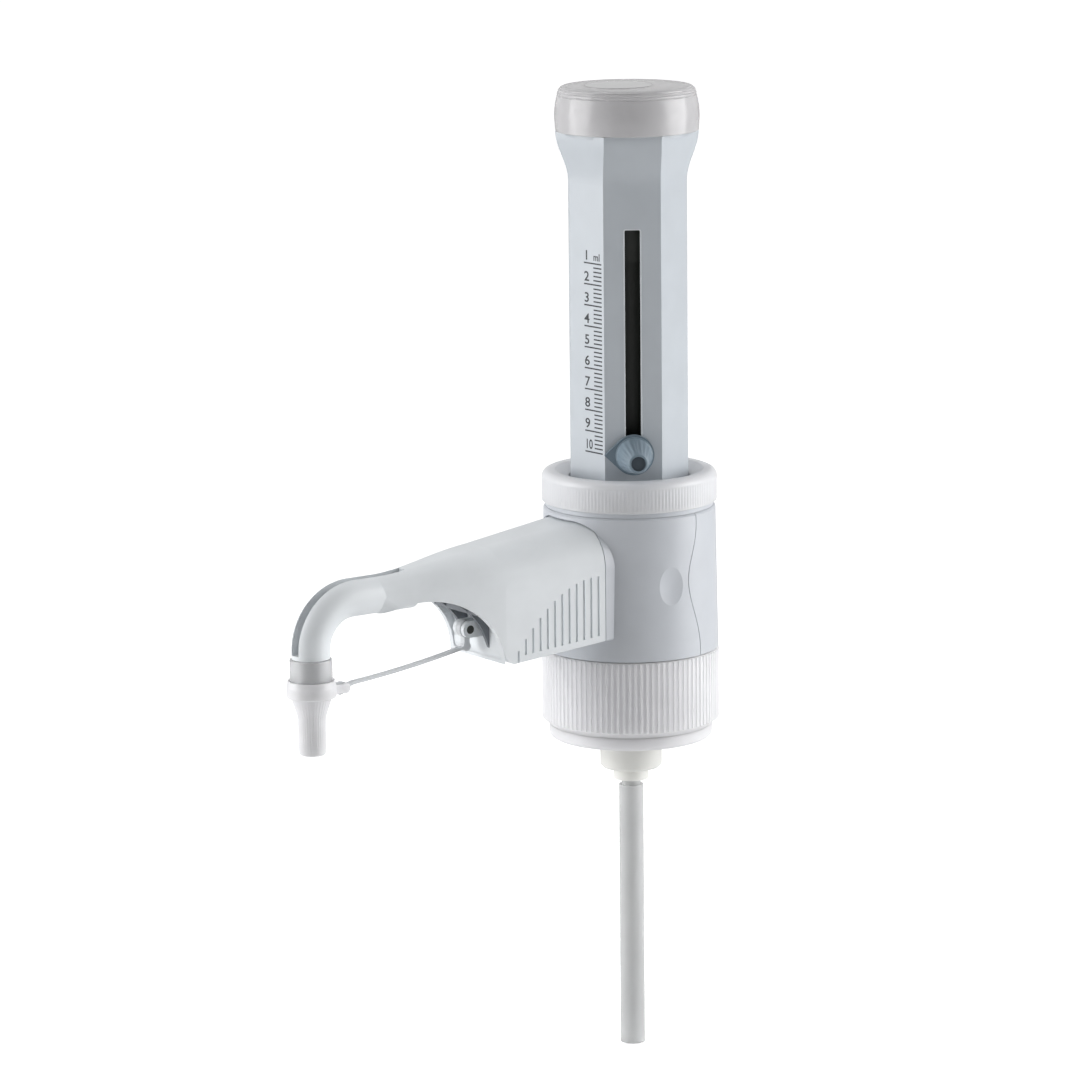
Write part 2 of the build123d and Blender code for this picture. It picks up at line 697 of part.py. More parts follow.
def arch(growth):
    """Elliptic arch that opens the spout from below, grown by a margin."""
    half = ARCH_HALF + growth
    rise = ARCH_RISE + growth
    outline = Pos(-ARCH_X, ARCH_Z) * Ellipse(half, rise)
    below = Pos(-ARCH_X, ARCH_Z - rise / 2) * Rectangle(2 * half, rise)
    return extrude(Plane.XZ * (outline + below), SPOUT_ROOT_HALF + 5.0, both=True)


def heel_round():
    """Tool that rounds the heel where the arch meets the spout's underside."""
    start = ARCH_WALL_X - HEEL_R
    fall = (SPOUT_ROOT_BOTTOM - SPOUT_HEEL_BOTTOM) / (SPOUT_HEEL_X - COLLAR_REACH)
    low = SPOUT_HEEL_BOTTOM + fall * (SPOUT_HEEL_X - start)
    corner = Pos(-ARCH_WALL_X + HEEL_R / 2, low + HEEL_R / 2) * Rectangle(HEEL_R, HEEL_R)
    skirt = Pos(-ARCH_WALL_X + HEEL_R / 2, low - HEEL_R / 2) * Rectangle(HEEL_R, HEEL_R)
    ball = Pos(-start, low + HEEL_R) * Circle(HEEL_R)
    return extrude(Plane.XZ * (corner + skirt - ball), SPOUT_ROOT_HALF + 5.0, both=True)


def grille():
    """Upright grooves along both sides of the spout, as one cutting tool."""
    strips = []
    for index in range(GRILLE_COUNT):
        distance = GRILLE_START + GRILLE_PITCH * index
        share = (distance - COLLAR_REACH) / (SPOUT_HEEL_X - COLLAR_REACH)
        floor = SPOUT_ROOT_BOTTOM + share * (SPOUT_HEEL_BOTTOM - SPOUT_ROOT_BOTTOM)
        top = GRILLE_TOP - GRILLE_FALL * (distance - GRILLE_START) ** 2
        low = floor + GRILLE_RISE
        if index == GRILLE_COUNT - 1:
            low = floor - GRILLE_RISE
        if top - low > GRILLE_WIDTH:
            strips.append(side_box(distance - GRILLE_WIDTH / 2, distance + GRILLE_WIDTH / 2, low, top))
    return strips[0] + strips[1:] - spout_form(GRILLE_DEPTH)


def spout_tongue():
    """Rim on the spout's root that enters the front shell's collar."""
    outer = SHELL_WALL + SEAM_GAP
    inner = outer + SPOUT_TONGUE_WALL
    depth = SPOUT_TONGUE + SHELL_WALL
    start = COLLAR_REACH + SHELL_WALL
    rim_part = extrude(spout_root(start, outer), depth)
    step = extrude(spout_root(start, SPOUT_WALL / 2), SHELL_WALL - SEAM_GAP)
    return rim_part + step - extrude(spout_root(start + 1.0, inner), depth + 2.0)


def strap_ears():
    """Two ears behind the arch that hold the strap's pin."""
    near = EAR_REACH - EAR_T
    length = STRAP_PIVOT_X - ARCH_WALL_X + RIB_T / 2
    ears = []
    for side in (-1, 1):
        middle = side * (near + EAR_T / 2)
        ears.append(bar_y(EAR_R, middle - EAR_T / 2, middle + EAR_T / 2, STRAP_PIVOT_X, STRAP_PIVOT_Z))
        arm = Box(length, EAR_T, 2 * EAR_R)
        ears.append(Pos(-STRAP_PIVOT_X + length / 2, middle, STRAP_PIVOT_Z) * arm)
    return ears


def spout_housing():
    """Moulded cover of the outlet: grooved wedge, arch, bent tube cover and top slot."""
    inner = spout_form(SPOUT_WALL)
    wall_x = ARCH_WALL_X - RIB_T
    housing = spout_form(0.0) - inner + spout_tongue()
    housing += inner & side_box(wall_x, ARCH_WALL_X, 0.0, 2 * TUBE_Z)
    housing += (inner & side_box(RIB_X, RIB_X + RIB_T, 0.0, 2 * TUBE_Z)) - arch(RIB_SETBACK)
    housing -= arch(0.0)
    housing -= heel_round()
    housing += bar_x(INNER_SLEEVE_R, wall_x, COVER_BLEND_X, TUBE_Z)
    housing += along_tube(Circle(COVER_R), COVER_START, SPOUT_END_Z)
    housing += strap_ears()
    housing -= bar_y(STRAP_PIN_R, -EAR_REACH, EAR_REACH, STRAP_PIVOT_X, STRAP_PIVOT_Z)
    housing -= along_tube(Circle(DISCHARGE_R + COVER_GAP), wall_x - 1.0, SPOUT_END_Z - 1.0)
    slot_depth = COVER_R - DISCHARGE_R + 2.0
    slot = Pos(0, DISCHARGE_R + slot_depth / 2) * Rectangle(TOP_SLOT_W, slot_depth)
    housing -= along_tube(slot, TOP_SLOT_START, SPOUT_END_Z + TOP_SLOT_END)
    return housing - grille()


def dishes():
    """Shallow thumb dishes on both sides of the body, as one cutting tool."""
    reach = (BODY_TOP_R + BODY_BOTTOM_R) / 2 - DISH_DEPTH + DISH_R
    ball = Pos(reach, 0, DISH_Z) * Sphere(DISH_R)
    return Rot(0, 0, DISH_DIRECTION) * ball + Rot(0, 0, -DISH_DIRECTION) * ball


def front_shell():
    """Body shell that carries the collar round the spout."""
    face_x = COLLAR_REACH - SEAM_GAP
    shell = body_blank() & seam_half(-SEAM_GAP / 2)
    shell -= extrude(spout_root(2 * COLLAR_REACH, -SEAM_GAP), 2 * COLLAR_REACH - face_x)
    collar = extrude(spout_root(face_x, 0.0), COLLAR_DEPTH)
    collar -= rod(BLOCK_BARREL_R + 1.0, BODY_BOTTOM, BODY_TOP)
    shell += collar
    shell -= extrude(spout_root(2 * COLLAR_REACH, SHELL_WALL), 2 * COLLAR_REACH)
    return shell - dishes()


def rear_shell():
    """Body shell at the back."""
    return body_blank() - seam_half(SEAM_GAP / 2)


def discharge_tube():
    """Bent tube from the block's port to the tip."""
    start = BLOCK_BARREL_R + FACE_GAP
    outer = along_tube(Circle(DISCHARGE_R), start, DISCHARGE_END_Z)
    return outer - along_tube(Circle(DISCHARGE_BORE_R), start - 1.0, DISCHARGE_END_Z - 1.0)


def tip_ferrule():
    """Ferrule on the tube's end, with the nipple that the cap screws on."""
    bore = DISCHARGE_R + RUN_FIT
    top = SPOUT_END_Z - FACE_GAP
    body = turned(
        (bore, FERRULE_BOTTOM - NIPPLE_H),
        (NIPPLE_R, FERRULE_BOTTOM - NIPPLE_H),
        (NIPPLE_R, FERRULE_BOTTOM),
        (FERRULE_R, FERRULE_BOTTOM),
        (FERRULE_R, top),
        (bore, top),
    )
    return at_tip(fillet(rim(body, FERRULE_R, top), FERRULE_EDGE))


def outlet_valve_seat():
    """Seat ring of the outlet valve, at the foot of the block's rising channel."""
    ring = tube(OUTLET_BORE_R, OUTLET_SEAT_R, OUTLET_SEAT_Z, OUTLET_SEAT_TOP)
    return Pos(-CHANNEL_X, 0, 0) * ring


def outlet_valve_cage():
    """Tube above the outlet seat that guides the ball and holds the spring down."""
    lid = OUTLET_CAGE_TOP - OUTLET_CAGE_LID
    body = turned(
        (OUTLET_CAGE_BORE_R, OUTLET_SEAT_TOP),
        (OUTLET_BORE_R, OUTLET_SEAT_TOP),
        (OUTLET_BORE_R, OUTLET_CAGE_TOP),
        (OUTLET_SEAT_R, OUTLET_CAGE_TOP),
        (OUTLET_SEAT_R, lid),
        (OUTLET_CAGE_BORE_R, lid),
    )
    return Pos(-CHANNEL_X, 0, 0) * body


def outlet_ball():
    """Ball of the outlet valve."""
    return Pos(-CHANNEL_X, 0, OUTLET_BALL_Z) * Sphere(OUTLET_BALL_R)


def outlet_spring():
    """Spring that keeps the outlet ball on its seat."""
    contact = OUTLET_BALL_R + SPRING_WIRE_R
    bottom = OUTLET_BALL_Z + sqrt(contact ** 2 - SPRING_R ** 2) + RUN_FIT
    top = OUTLET_CAGE_TOP - OUTLET_CAGE_LID - SPRING_WIRE_R - RUN_FIT
    path = Helix((top - bottom) / SPRING_TURNS, top - bottom, SPRING_R)
    wire = Plane(origin=path @ 0, z_dir=path % 0) * Circle(SPRING_WIRE_R)
    return Pos(-CHANNEL_X, 0, bottom) * sweep(wire, path=path, is_frenet=True)


# Inlet valve and filling tube


def filling_valve_body():
    """Body of the filling valve, plugged into the block from below."""
    shoulder = BLOCK_BOTTOM - FACE_GAP
    groove = BLOCK_BOTTOM + VALVE_STUB_H / 2
    groove_r = VALVE_STUB_R - 2 * SEAL_RING_R + RUN_FIT
    cage_top = CAGE_BOTTOM + CAGE_H
    body = turned(
        (INLET_BORE_R, VALVE_BOTTOM),
        (VALVE_R - VALVE_EDGE, VALVE_BOTTOM),
        (VALVE_R, VALVE_BOTTOM + VALVE_EDGE),
        (VALVE_R, shoulder),
        (VALVE_STUB_R, shoulder),
        (VALVE_STUB_R, groove - SEAL_RING_R),
        (groove_r, groove - SEAL_RING_R),
        (groove_r, groove + SEAL_RING_R),
        (VALVE_STUB_R, groove + SEAL_RING_R),
        (VALVE_STUB_R, CHAMBER_BOTTOM),
        (INLET_BORE_R, CHAMBER_BOTTOM),
        (INLET_BORE_R, cage_top),
        (CAGE_R, cage_top),
        (CAGE_R, CAGE_BOTTOM),
        (INLET_BORE_R, CAGE_BOTTOM),
    )
    slot_reach = 2 * INLET_BORE_R - 4 * SLIDE_GAP
    slot = Pos(0, 0, CAGE_BOTTOM + CAGE_H / 2) * Box(slot_reach, CAGE_SLOT_W, 2 * CAGE_H)
    return body - slot - Rot(0, 0, 90) * slot


def filling_valve_seat():
    """Seat ring of the filling valve."""
    return tube(INLET_BORE_R, INLET_SEAT_R, CONNECTOR_TOP, INLET_SEAT_TOP)


def filling_ball():
    """Ball of the filling valve, lifted while the handle is pulled up."""
    return Pos(0, 0, INLET_BALL_Z) * Sphere(INLET_BALL_R)


def valve_seal_ring():
    """Ring seal round the stub of the filling valve."""
    centre_r = VALVE_STUB_R - SEAL_RING_R + RUN_FIT
    return Pos(0, 0, BLOCK_BOTTOM + VALVE_STUB_H / 2) * Torus(centre_r, SEAL_RING_R)


def tube_connector():
    """Plug under the filling valve with the olive that the tube is pushed on."""
    return turned(
        (OLIVE_BORE_R, CONNECTOR_BOTTOM - OLIVE_H),
        (OLIVE_R, CONNECTOR_BOTTOM - OLIVE_H),
        (OLIVE_R, CONNECTOR_BOTTOM),
        (CONNECTOR_R, CONNECTOR_BOTTOM),
        (CONNECTOR_R, VALVE_BOTTOM),
        (INLET_BORE_R, VALVE_BOTTOM),
        (INLET_BORE_R, CONNECTOR_TOP),
        (OLIVE_BORE_R, CONNECTOR_TOP),
    )


def filling_tube_inner():
    """Inner half of the telescopic filling tube, pushed on the olive."""
    top = CONNECTOR_BOTTOM - FACE_GAP
    outer = FILL_TUBE_R - FILL_TUBE_WALL - RUN_FIT
    return tube(outer, OLIVE_R, top - FILL_TUBE_INNER_LENGTH, top)


def filling_tube_outer():
    """Outer half of the filling tube, pulled down to reach the bottle's floor."""
    return tube(FILL_TUBE_R, FILL_TUBE_R - FILL_TUBE_WALL, FILL_TUBE_OUTER_BOTTOM, FILL_TUBE_OUTER_TOP)


# Handle


def sleeve_section(height, radius, facet_d, inset):
    """Section of the sleeve: flat facet, two slanted panels and a round back."""
    slope = radians(PANEL_ANGLE)
    front = facet_d - inset
    reach = radius - inset
    half = FACET_HALF - inset * tan(slope / 2)
    corner = front - (reach - half) * tan(slope)
    left_side = [(-reach, 0), (-reach, -corner), (-half, -front)]
    right_side = [(half, -front), (reach, -corner), (reach, 0)]
    front_line = Polyline(*left_side, *right_side)
    back = ThreePointArc((reach, 0), (0, reach), (-reach, 0))
    return Pos(0, 0, height) * make_face([*front_line.edges(), *back.edges()])


def handle_sleeve():
    """Long sleeve with the scale facet and slot, flared at the top, with a neck for the cap."""
    flare_z = SLEEVE_TOP - FLARE_H
    body = extrude(sleeve_section(SLEEVE_BOTTOM, SLEEVE_R, FACET_D, 0.0), flare_z - SLEEVE_BOTTOM)
    stations = []
    for step in range(FLARE_STEPS + 1):
        share = step / FLARE_STEPS
        growth = sin(share * pi / 2) ** 2
        radius = SLEEVE_R + growth * (FLARE_R - SLEEVE_R)
        facet_d = FACET_D + growth * (FLARE_FACET_D - FACET_D)
        stations.append(sleeve_section(flare_z + share * FLARE_H, radius, facet_d, 0.0))
    body += loft(stations)
    body += rod(NECK_R, SLEEVE_TOP - 1.0, SLEEVE_TOP + NECK_H)
    hollow = sleeve_section(SLEEVE_BOTTOM - 1.0, SLEEVE_R, FACET_D, SLEEVE_WALL)
    body -= extrude(hollow, SLEEVE_H + 1.0 - NECK_H)
    body -= rod(NECK_R - NECK_WALL, SLEEVE_TOP - NECK_H, SLEEVE_TOP + NECK_H + 1.0)
    slot_outline = facet_plane(FACET_D, (SLOT_LOW + SLOT_TOP) / 2) * RectangleRounded(
        SLOT_W, SLOT_TOP - SLOT_LOW, SLOT_CORNER
    )
    return at_handle(body - extrude(slot_outline, 3 * SLEEVE_WALL, both=True))


def label_centre():
    """Centre of the label, beside the cap's axis."""
    angle = radians(LABEL_DIRECTION)
    return (LABEL_OFFSET * cos(angle), LABEL_OFFSET * sin(angle))


def handle_cap():
    """Hollow cap of the handle, with the recess for the label and the boss for the rod."""
    inner_r = NECK_R + SLIDE_GAP
    ceiling = CAP_TOP - CAP_WALL
    bottom = SLEEVE_TOP + FACE_GAP
    shoulder = (CAP_SHOULDER_R, CAP_TOP - 2.7)
    skin = Spline((CAP_FOOT_R, bottom), (CAP_R, bottom + 2.2), shoulder)
    edge = Spline(shoulder, (CAP_FLAT_R + 1.1, CAP_TOP - 0.6), (CAP_FLAT_R, CAP_TOP))
    inside = Polyline(
        (CAP_FLAT_R, CAP_TOP),
        (0, CAP_TOP),
        (0, ceiling),
        (ROD_R + RUN_FIT, ceiling),
        (ROD_R + RUN_FIT, ceiling - CAP_BOSS_H),
        (CAP_BOSS_R, ceiling - CAP_BOSS_H),
        (CAP_BOSS_R, ceiling),
        (inner_r - 1.2, ceiling),
        (inner_r, ceiling - 1.6),
        (inner_r, bottom),
        (CAP_FOOT_R, bottom),
    )
    face = make_face([*skin.edges(), *edge.edges(), *inside.edges()])
    body = revolve(Plane.XZ * face, Axis.Z)
    return body - rod(LABEL_R + FACE_GAP, CAP_TOP - LABEL_RECESS, CAP_TOP + 1.0, label_centre())


def label_disc():
    """Thin round label let into the cap."""
    bottom = CAP_TOP - LABEL_RECESS
    return rod(LABEL_R, bottom, bottom + LABEL_H, label_centre())


def piston_rod():
    """Rod between the cap and the piston's head."""
    return rod(ROD_R, PISTON_TOP, CAP_TOP - CAP_WALL)


def piston_head():
    """Piston with the groove for its seal."""
    head_r = PISTON_R - 2 * RUN_FIT
    groove_low = PISTON_BOTTOM + PISTON_SEAL_RISE
    groove_high = groove_low + PISTON_SEAL_H
    groove_r = PISTON_R - PISTON_SEAL_DEPTH
    return turned(
        (0, PISTON_BOTTOM),
        (head_r - 0.6, PISTON_BOTTOM),
        (head_r, PISTON_BOTTOM + 0.6),
        (head_r, groove_low),
        (groove_r, groove_low),
        (groove_r, groove_high),
        (head_r, groove_high),
        (head_r, PISTON_TOP - 2.0),
        (ROD_R, PISTON_TOP),
        (0, PISTON_TOP),
    )


def piston_seal():
    """Sealing ring in the piston's groove."""
    low = PISTON_BOTTOM + PISTON_SEAL_RISE
    return tube(PISTON_R, PISTON_R - PISTON_SEAL_DEPTH, low, low + PISTON_SEAL_H)


def volume_track():
    """Two notched rails inside the sleeve beside the slot, joined above it."""
    low = SLIDER_BOTTOM
    high = SLOT_TOP + RAIL_BRIDGE + 1.0
    near = SLIDER_HALF + SLIDE_GAP
    far = near + RAIL_W
    root = near + RAIL_NOTCH
    pitch = STROKE / VOLUME_MAX / 5.0
    points = [(root, low)]
    for index in range(int((high - low - 2 * RAIL_BRIDGE) / pitch)):
        base = low + pitch * (index + 1)
        points.append((root, base - 0.25 * pitch))
        points.append((near, base))
        points.append((root, base + 0.25 * pitch))
    points.append((root, high - RAIL_BRIDGE))
    points.append((0.0, high - RAIL_BRIDGE))
    outer = [(0.0, high), (far, high), (far, low)]
    half = make_face(Polyline(*points, *outer, close=True))
    rail = extrude(facet_plane(FACET_D - SLEEVE_WALL - RAIL_T, 0.0) * half, RAIL_T)
    return at_handle(rail + mirror(rail, about=Plane.YZ))


# Volume pointer


def volume_pointer():
    """Drop-shaped plate whose tip reads on the scale."""
    angle = atan2(sqrt(POINTER_TIP ** 2 - POINTER_R ** 2), POINTER_R)
    touch_x = -POINTER_R * cos(angle)
    touch_y = POINTER_R * sin(angle)
    outline = [
        Line((touch_x, touch_y), (-POINTER_TIP, 0)),
        Line((-POINTER_TIP, 0), (touch_x, -touch_y)),
        ThreePointArc((touch_x, -touch_y), (POINTER_R, 0), (touch_x, touch_y)),
    ]
    plate = extrude(facet_plane(PLATE_BACK, POINTER_Z) * make_face(outline), POINTER_PLATE)
    hole = facet_rod(SCREW_STEM_R + RUN_FIT, PLATE_BACK - 1.0, PLATE_FRONT + 1.0)
    return at_handle(plate - hole)


def pointer_block():
    """Slider behind the slot: guide plate, neck through the slot and the stop lug."""
    neck_low = POINTER_Z - SLIDER_NECK_H / 2
    neck_high = POINTER_Z + SLIDER_NECK_H / 2
    body = facet_box(SLIDER_HALF, SLIDER_BACK, SLIDER_FRONT, SLIDER_BOTTOM, SLIDER_TOP)
    body += facet_box(SLIDER_NECK_HALF, SLIDER_FRONT, PLATE_BACK, neck_low, neck_high)
    body += facet_box(SLIDER_HALF, JACKET_R + SLIDE_GAP, SLIDER_BACK, SLIDER_BOTTOM, LUG_TOP)
    hole = facet_rod(SCREW_STEM_R + RUN_FIT, SLIDER_BACK - 1.0, PLATE_BACK + 1.0)
    return at_handle(body - hole)


def thumb_screw():
    """Tapered clamping knob with its stem."""
    end = SCREW_BACK + SCREW_LENGTH
    stem_end = SLIDER_BACK + FACE_GAP
    knob = turned(
        (0, stem_end),
        (SCREW_STEM_R, stem_end),
        (SCREW_STEM_R, SCREW_BACK),
        (SCREW_BASE_R - 0.3, SCREW_BACK),
        (SCREW_BASE_R, SCREW_BACK + 0.4),
        (SCREW_END_R + 0.15, end - 0.4),
        (SCREW_END_R - 0.25, end),
        (SCREW_END_R - 0.7, end),
        (SCREW_END_R - 0.9, end - SCREW_DIMPLE),
        (0, end - SCREW_DIMPLE),
    )
    return at_handle(Pos(0, 0, POINTER_Z) * Rot(90, 0, 0) * knob)


# Closure


def cap_ring():
    """Ring that carries the screw cap, with two ears and a pin for the strap's eye."""
    groove_r = CAP_HEAD_R + CAP_HEAD_FLANGE + FACE_GAP
    groove_low = CAP_RING_BOTTOM + CAP_RING_GROOVE
    groove_high = groove_low + CAP_FLANGE_H + 2 * FACE_GAP
    cup_top = CAP_RING_SHOULDER + CAP_RING_CUP
    cup_r = FERRULE_R + SLIDE_GAP
    body = turned(
        (CAP_RING_BORE_R, CAP_RING_BOTTOM),
        (CAP_RING_R - 0.3, CAP_RING_BOTTOM),
        (CAP_RING_R, CAP_RING_BOTTOM + 0.3),
        (CAP_RING_R, CAP_RING_SHOULDER),
        (CAP_RING_TOP_R, cup_top),
        (cup_r, cup_top),
        (cup_r, CAP_RING_SHOULDER),
        (CAP_RING_BORE_R, CAP_RING_SHOULDER),
        (CAP_RING_BORE_R, groove_high),
        (groove_r, groove_high),
        (groove_r, groove_low),
        (CAP_RING_BORE_R, groove_low),
    )
    body = at_tip(body)
    near = STRAP_W / 2 + NUB_GAP
    ring_edge = SPOUT_REACH - CAP_RING_R + 0.4
    for side in (-1, 1):
        middle = side * (near + NUB_EAR_T / 2)
        body += bar_y(NUB_EAR_R, middle - NUB_EAR_T / 2, middle + NUB_EAR_T / 2, NUB_X, NUB_Z)
        arm = Box(ring_edge - NUB_X, NUB_EAR_T, 2 * NUB_EAR_R - 0.4)
        body += Pos(-(ring_edge + NUB_X) / 2, middle, NUB_Z) * arm
    return body + bar_y(NUB_PIN_R, -near - 0.2, near + 0.2, NUB_X, NUB_Z)


def screw_cap():
    """Closed cap that screws on the ferrule's nipple."""
    head_low = CAP_RING_BOTTOM
    flange_low = CAP_RING_BOTTOM + CAP_RING_GROOVE + FACE_GAP
    flange_high = flange_low + CAP_FLANGE_H
    flange_r = CAP_HEAD_R + CAP_HEAD_FLANGE
    head_top = FERRULE_BOTTOM - CAP_THREAD_GAP
    thread_r = NIPPLE_R + CAP_THREAD_GAP
    thread_low = FERRULE_BOTTOM - NIPPLE_H - CAP_THREAD_GAP
    body = turned(
        (0, CAP_END_Z),
        (CAP_END_R - 0.8, CAP_END_Z),
        (CAP_END_R, CAP_END_Z + 0.8),
        (CAP_WAIST_R, CAP_WAIST_Z),
        (CAP_HEAD_R, head_low),
        (CAP_HEAD_R, flange_low),
        (flange_r, flange_low),
        (flange_r, flange_high),
        (CAP_HEAD_R, flange_high),
        (CAP_HEAD_R, head_top),
        (thread_r, head_top),
        (thread_r, thread_low),
        (CAP_BORE_R, thread_low - 0.6),
        (CAP_BORE_R, CAP_END_Z + CAP_FLOOR),
        (0, CAP_END_Z + CAP_FLOOR),
    )
    return at_tip(body)


def cap_strap():
    """Bent arm between the pivot under the spout and the cap's ring."""
    half = STRAP_T / 2
    end_z = NUB_Z + (NUB_X - STRAP_END_X) * tan(radians(STRAP_TILT))
    mid = (-(STRAP_PIVOT_X + STRAP_END_X) / 2, (STRAP_FOOT_Z + end_z) / 2 - STRAP_SAG)
    foot = (-STRAP_PIVOT_X, STRAP_FOOT_Z)
    end = (-STRAP_END_X, end_z)
    upper = ThreePointArc(*[(x, z + half) for x, z in (foot, mid, end)])
    lower = ThreePointArc(*[(x, z - half) for x, z in (foot, mid, end)])
    ends = [Line(upper @ 0, lower @ 0), Line(upper @ 1, lower @ 1)]
    arm = extrude(Plane.XZ * make_face([upper, lower, *ends]), STRAP_W / 2, both=True)
    arm += bar_y(STRAP_HUB_R, -STRAP_W / 2, STRAP_W / 2, STRAP_PIVOT_X, STRAP_PIVOT_Z)
    arm += bar_y(STRAP_FOOT_R, -STRAP_W / 2, STRAP_W / 2, STRAP_PIVOT_X, STRAP_FOOT_Z)
    web_h = STRAP_PIVOT_Z - STRAP_FOOT_Z
    arm += Pos(-STRAP_PIVOT_X, 0, STRAP_FOOT_Z + web_h / 2) * Box(STRAP_WEB, STRAP_W, web_h)
    arm += strap_eye(EYE_WALL, STRAP_W / 2)
    arm -= bar_y(STRAP_PIN_R + RUN_FIT, -STRAP_W, STRAP_W, STRAP_PIVOT_X, STRAP_PIVOT_Z)
    return arm - strap_eye(0.0, STRAP_W)


def strap_eye(wall, half_width):
    """Slotted eye of the strap, or with no wall the slot that lets the ring drop straight."""
    tilt = radians(STRAP_TILT)
    radius = NUB_PIN_R + EYE_GAP + wall
    middle_x = NUB_X + EYE_TRAVEL / 2 * cos(tilt)
    middle_z = NUB_Z - EYE_TRAVEL / 2 * sin(tilt)
    place = Pos(-middle_x, 0, middle_z) * Rot(0, -STRAP_TILT, 0) * Rot(90, 0, 0)
    eye = extrude(SlotCenterToCenter(EYE_TRAVEL, 2 * radius), half_width, both=True)
    if wall > 0.0:
        near = EYE_TRAVEL / 2 + radius - 0.4
        far = EYE_TRAVEL / 2 + (NUB_X - STRAP_END_X) / cos(tilt) + 0.3
        eye += Pos((near + far) / 2, 0, 0) * Box(far - near, STRAP_T, STRAP_W)
    return place * eye


def strap_pivot_pin():
    """Pin across the two ears under the spout."""
    return bar_y(STRAP_PIN_R, -EAR_REACH, EAR_REACH, STRAP_PIVOT_X, STRAP_PIVOT_Z)


PIECES = [
    bottle_adapter,
    adapter_seal,
    threaded_skirt,
    valve_block,
    front_shell,
    rear_shell,
    spout_housing,
    discharge_tube,
    tip_ferrule,
    strap_pivot_pin,
    outlet_valve_seat,
    outlet_valve_cage,
    outlet_ball,
    outlet_spring,
    glass_cylinder,
    cylinder_jacket,
    filling_valve_body,
    filling_valve_seat,
    filling_ball,
    valve_seal_ring,
    tube_connector,
    filling_tube_inner,
    filling_tube_outer,
    lock_ring,
    handle_sleeve,
    handle_cap,
    label_disc,
    piston_rod,
    piston_head,
    piston_seal,
    volume_track,
    volume_pointer,
    pointer_block,
    thumb_screw,
    cap_ring,
    screw_cap,
    cap_strap,
]


if __name__ == "__main__":
    os.makedirs("parts", exist_ok=True)
    for piece in PIECES:
        export_step(piece(), f"parts/{piece.__name__}.step")
        print(piece.__name__)
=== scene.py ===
"""Looks of the bottle-top dispenser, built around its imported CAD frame."""
import logging
from collections.abc import Callable
from dataclasses import dataclass
from enum import Enum
from math import cos, floor, hypot, pi, radians, sin

import bmesh
import bpy
from mathutils import Matrix, Vector


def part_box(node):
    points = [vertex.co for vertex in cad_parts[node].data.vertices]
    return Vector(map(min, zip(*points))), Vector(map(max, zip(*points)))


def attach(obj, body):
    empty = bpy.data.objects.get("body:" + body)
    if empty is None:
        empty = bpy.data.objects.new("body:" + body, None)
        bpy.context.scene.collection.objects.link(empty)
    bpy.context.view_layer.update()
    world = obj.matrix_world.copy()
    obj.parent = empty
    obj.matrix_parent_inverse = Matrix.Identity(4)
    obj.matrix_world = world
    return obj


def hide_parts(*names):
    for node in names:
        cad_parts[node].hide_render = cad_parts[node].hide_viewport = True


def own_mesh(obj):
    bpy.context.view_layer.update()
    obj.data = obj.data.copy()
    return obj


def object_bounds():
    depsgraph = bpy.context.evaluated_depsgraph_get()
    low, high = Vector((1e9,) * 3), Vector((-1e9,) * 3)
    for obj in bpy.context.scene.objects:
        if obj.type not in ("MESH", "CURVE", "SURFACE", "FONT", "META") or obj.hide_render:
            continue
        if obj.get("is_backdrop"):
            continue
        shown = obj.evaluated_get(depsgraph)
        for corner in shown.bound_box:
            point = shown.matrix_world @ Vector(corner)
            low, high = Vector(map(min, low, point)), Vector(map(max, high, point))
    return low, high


LOG = logging.getLogger("dispenser")
MM = 0.001

Colour = tuple[float, float, float]
Outline = list[tuple[float, float]]
Ripple = Callable[[float, float, float], float]

# Sizes of the object that several classes share, in millimetres
FACET_D = 15.65
FACET_HALF = 8.68
PANEL_SLOPE = 55.0
HANDLE_TURN = -32.0
POINTER_Z = 75.1
ML_STEP = 6.404
SLOT_WIDTH = 5.0
SLOT_LOW = 69.6
SLOT_TOP = 143.4
SPOUT_REACH = 117.4
LEVELS: dict[str, tuple[float, float]] = {}


def heights(node: str) -> tuple[float, float]:
    """Lowest and highest level of a CAD node in millimetres, measured once.

    Args:
        node: the node's name.

    Returns:
        The two levels.
    """
    if node not in LEVELS:
        low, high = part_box(node)
        LEVELS[node] = (low.z / MM, high.z / MM)
    return LEVELS[node]


def tone(red: int, green: int, blue: int) -> Colour:
    """Scene colour of an 8-bit display colour."""
    return tuple(((v / 255 + 0.055) / 1.055) ** 2.4 for v in (red, green, blue))


def clamp_share(value: float) -> float:
    """A share held between nought and one."""
    return max(0.0, min(1.0, value))


# Finishes


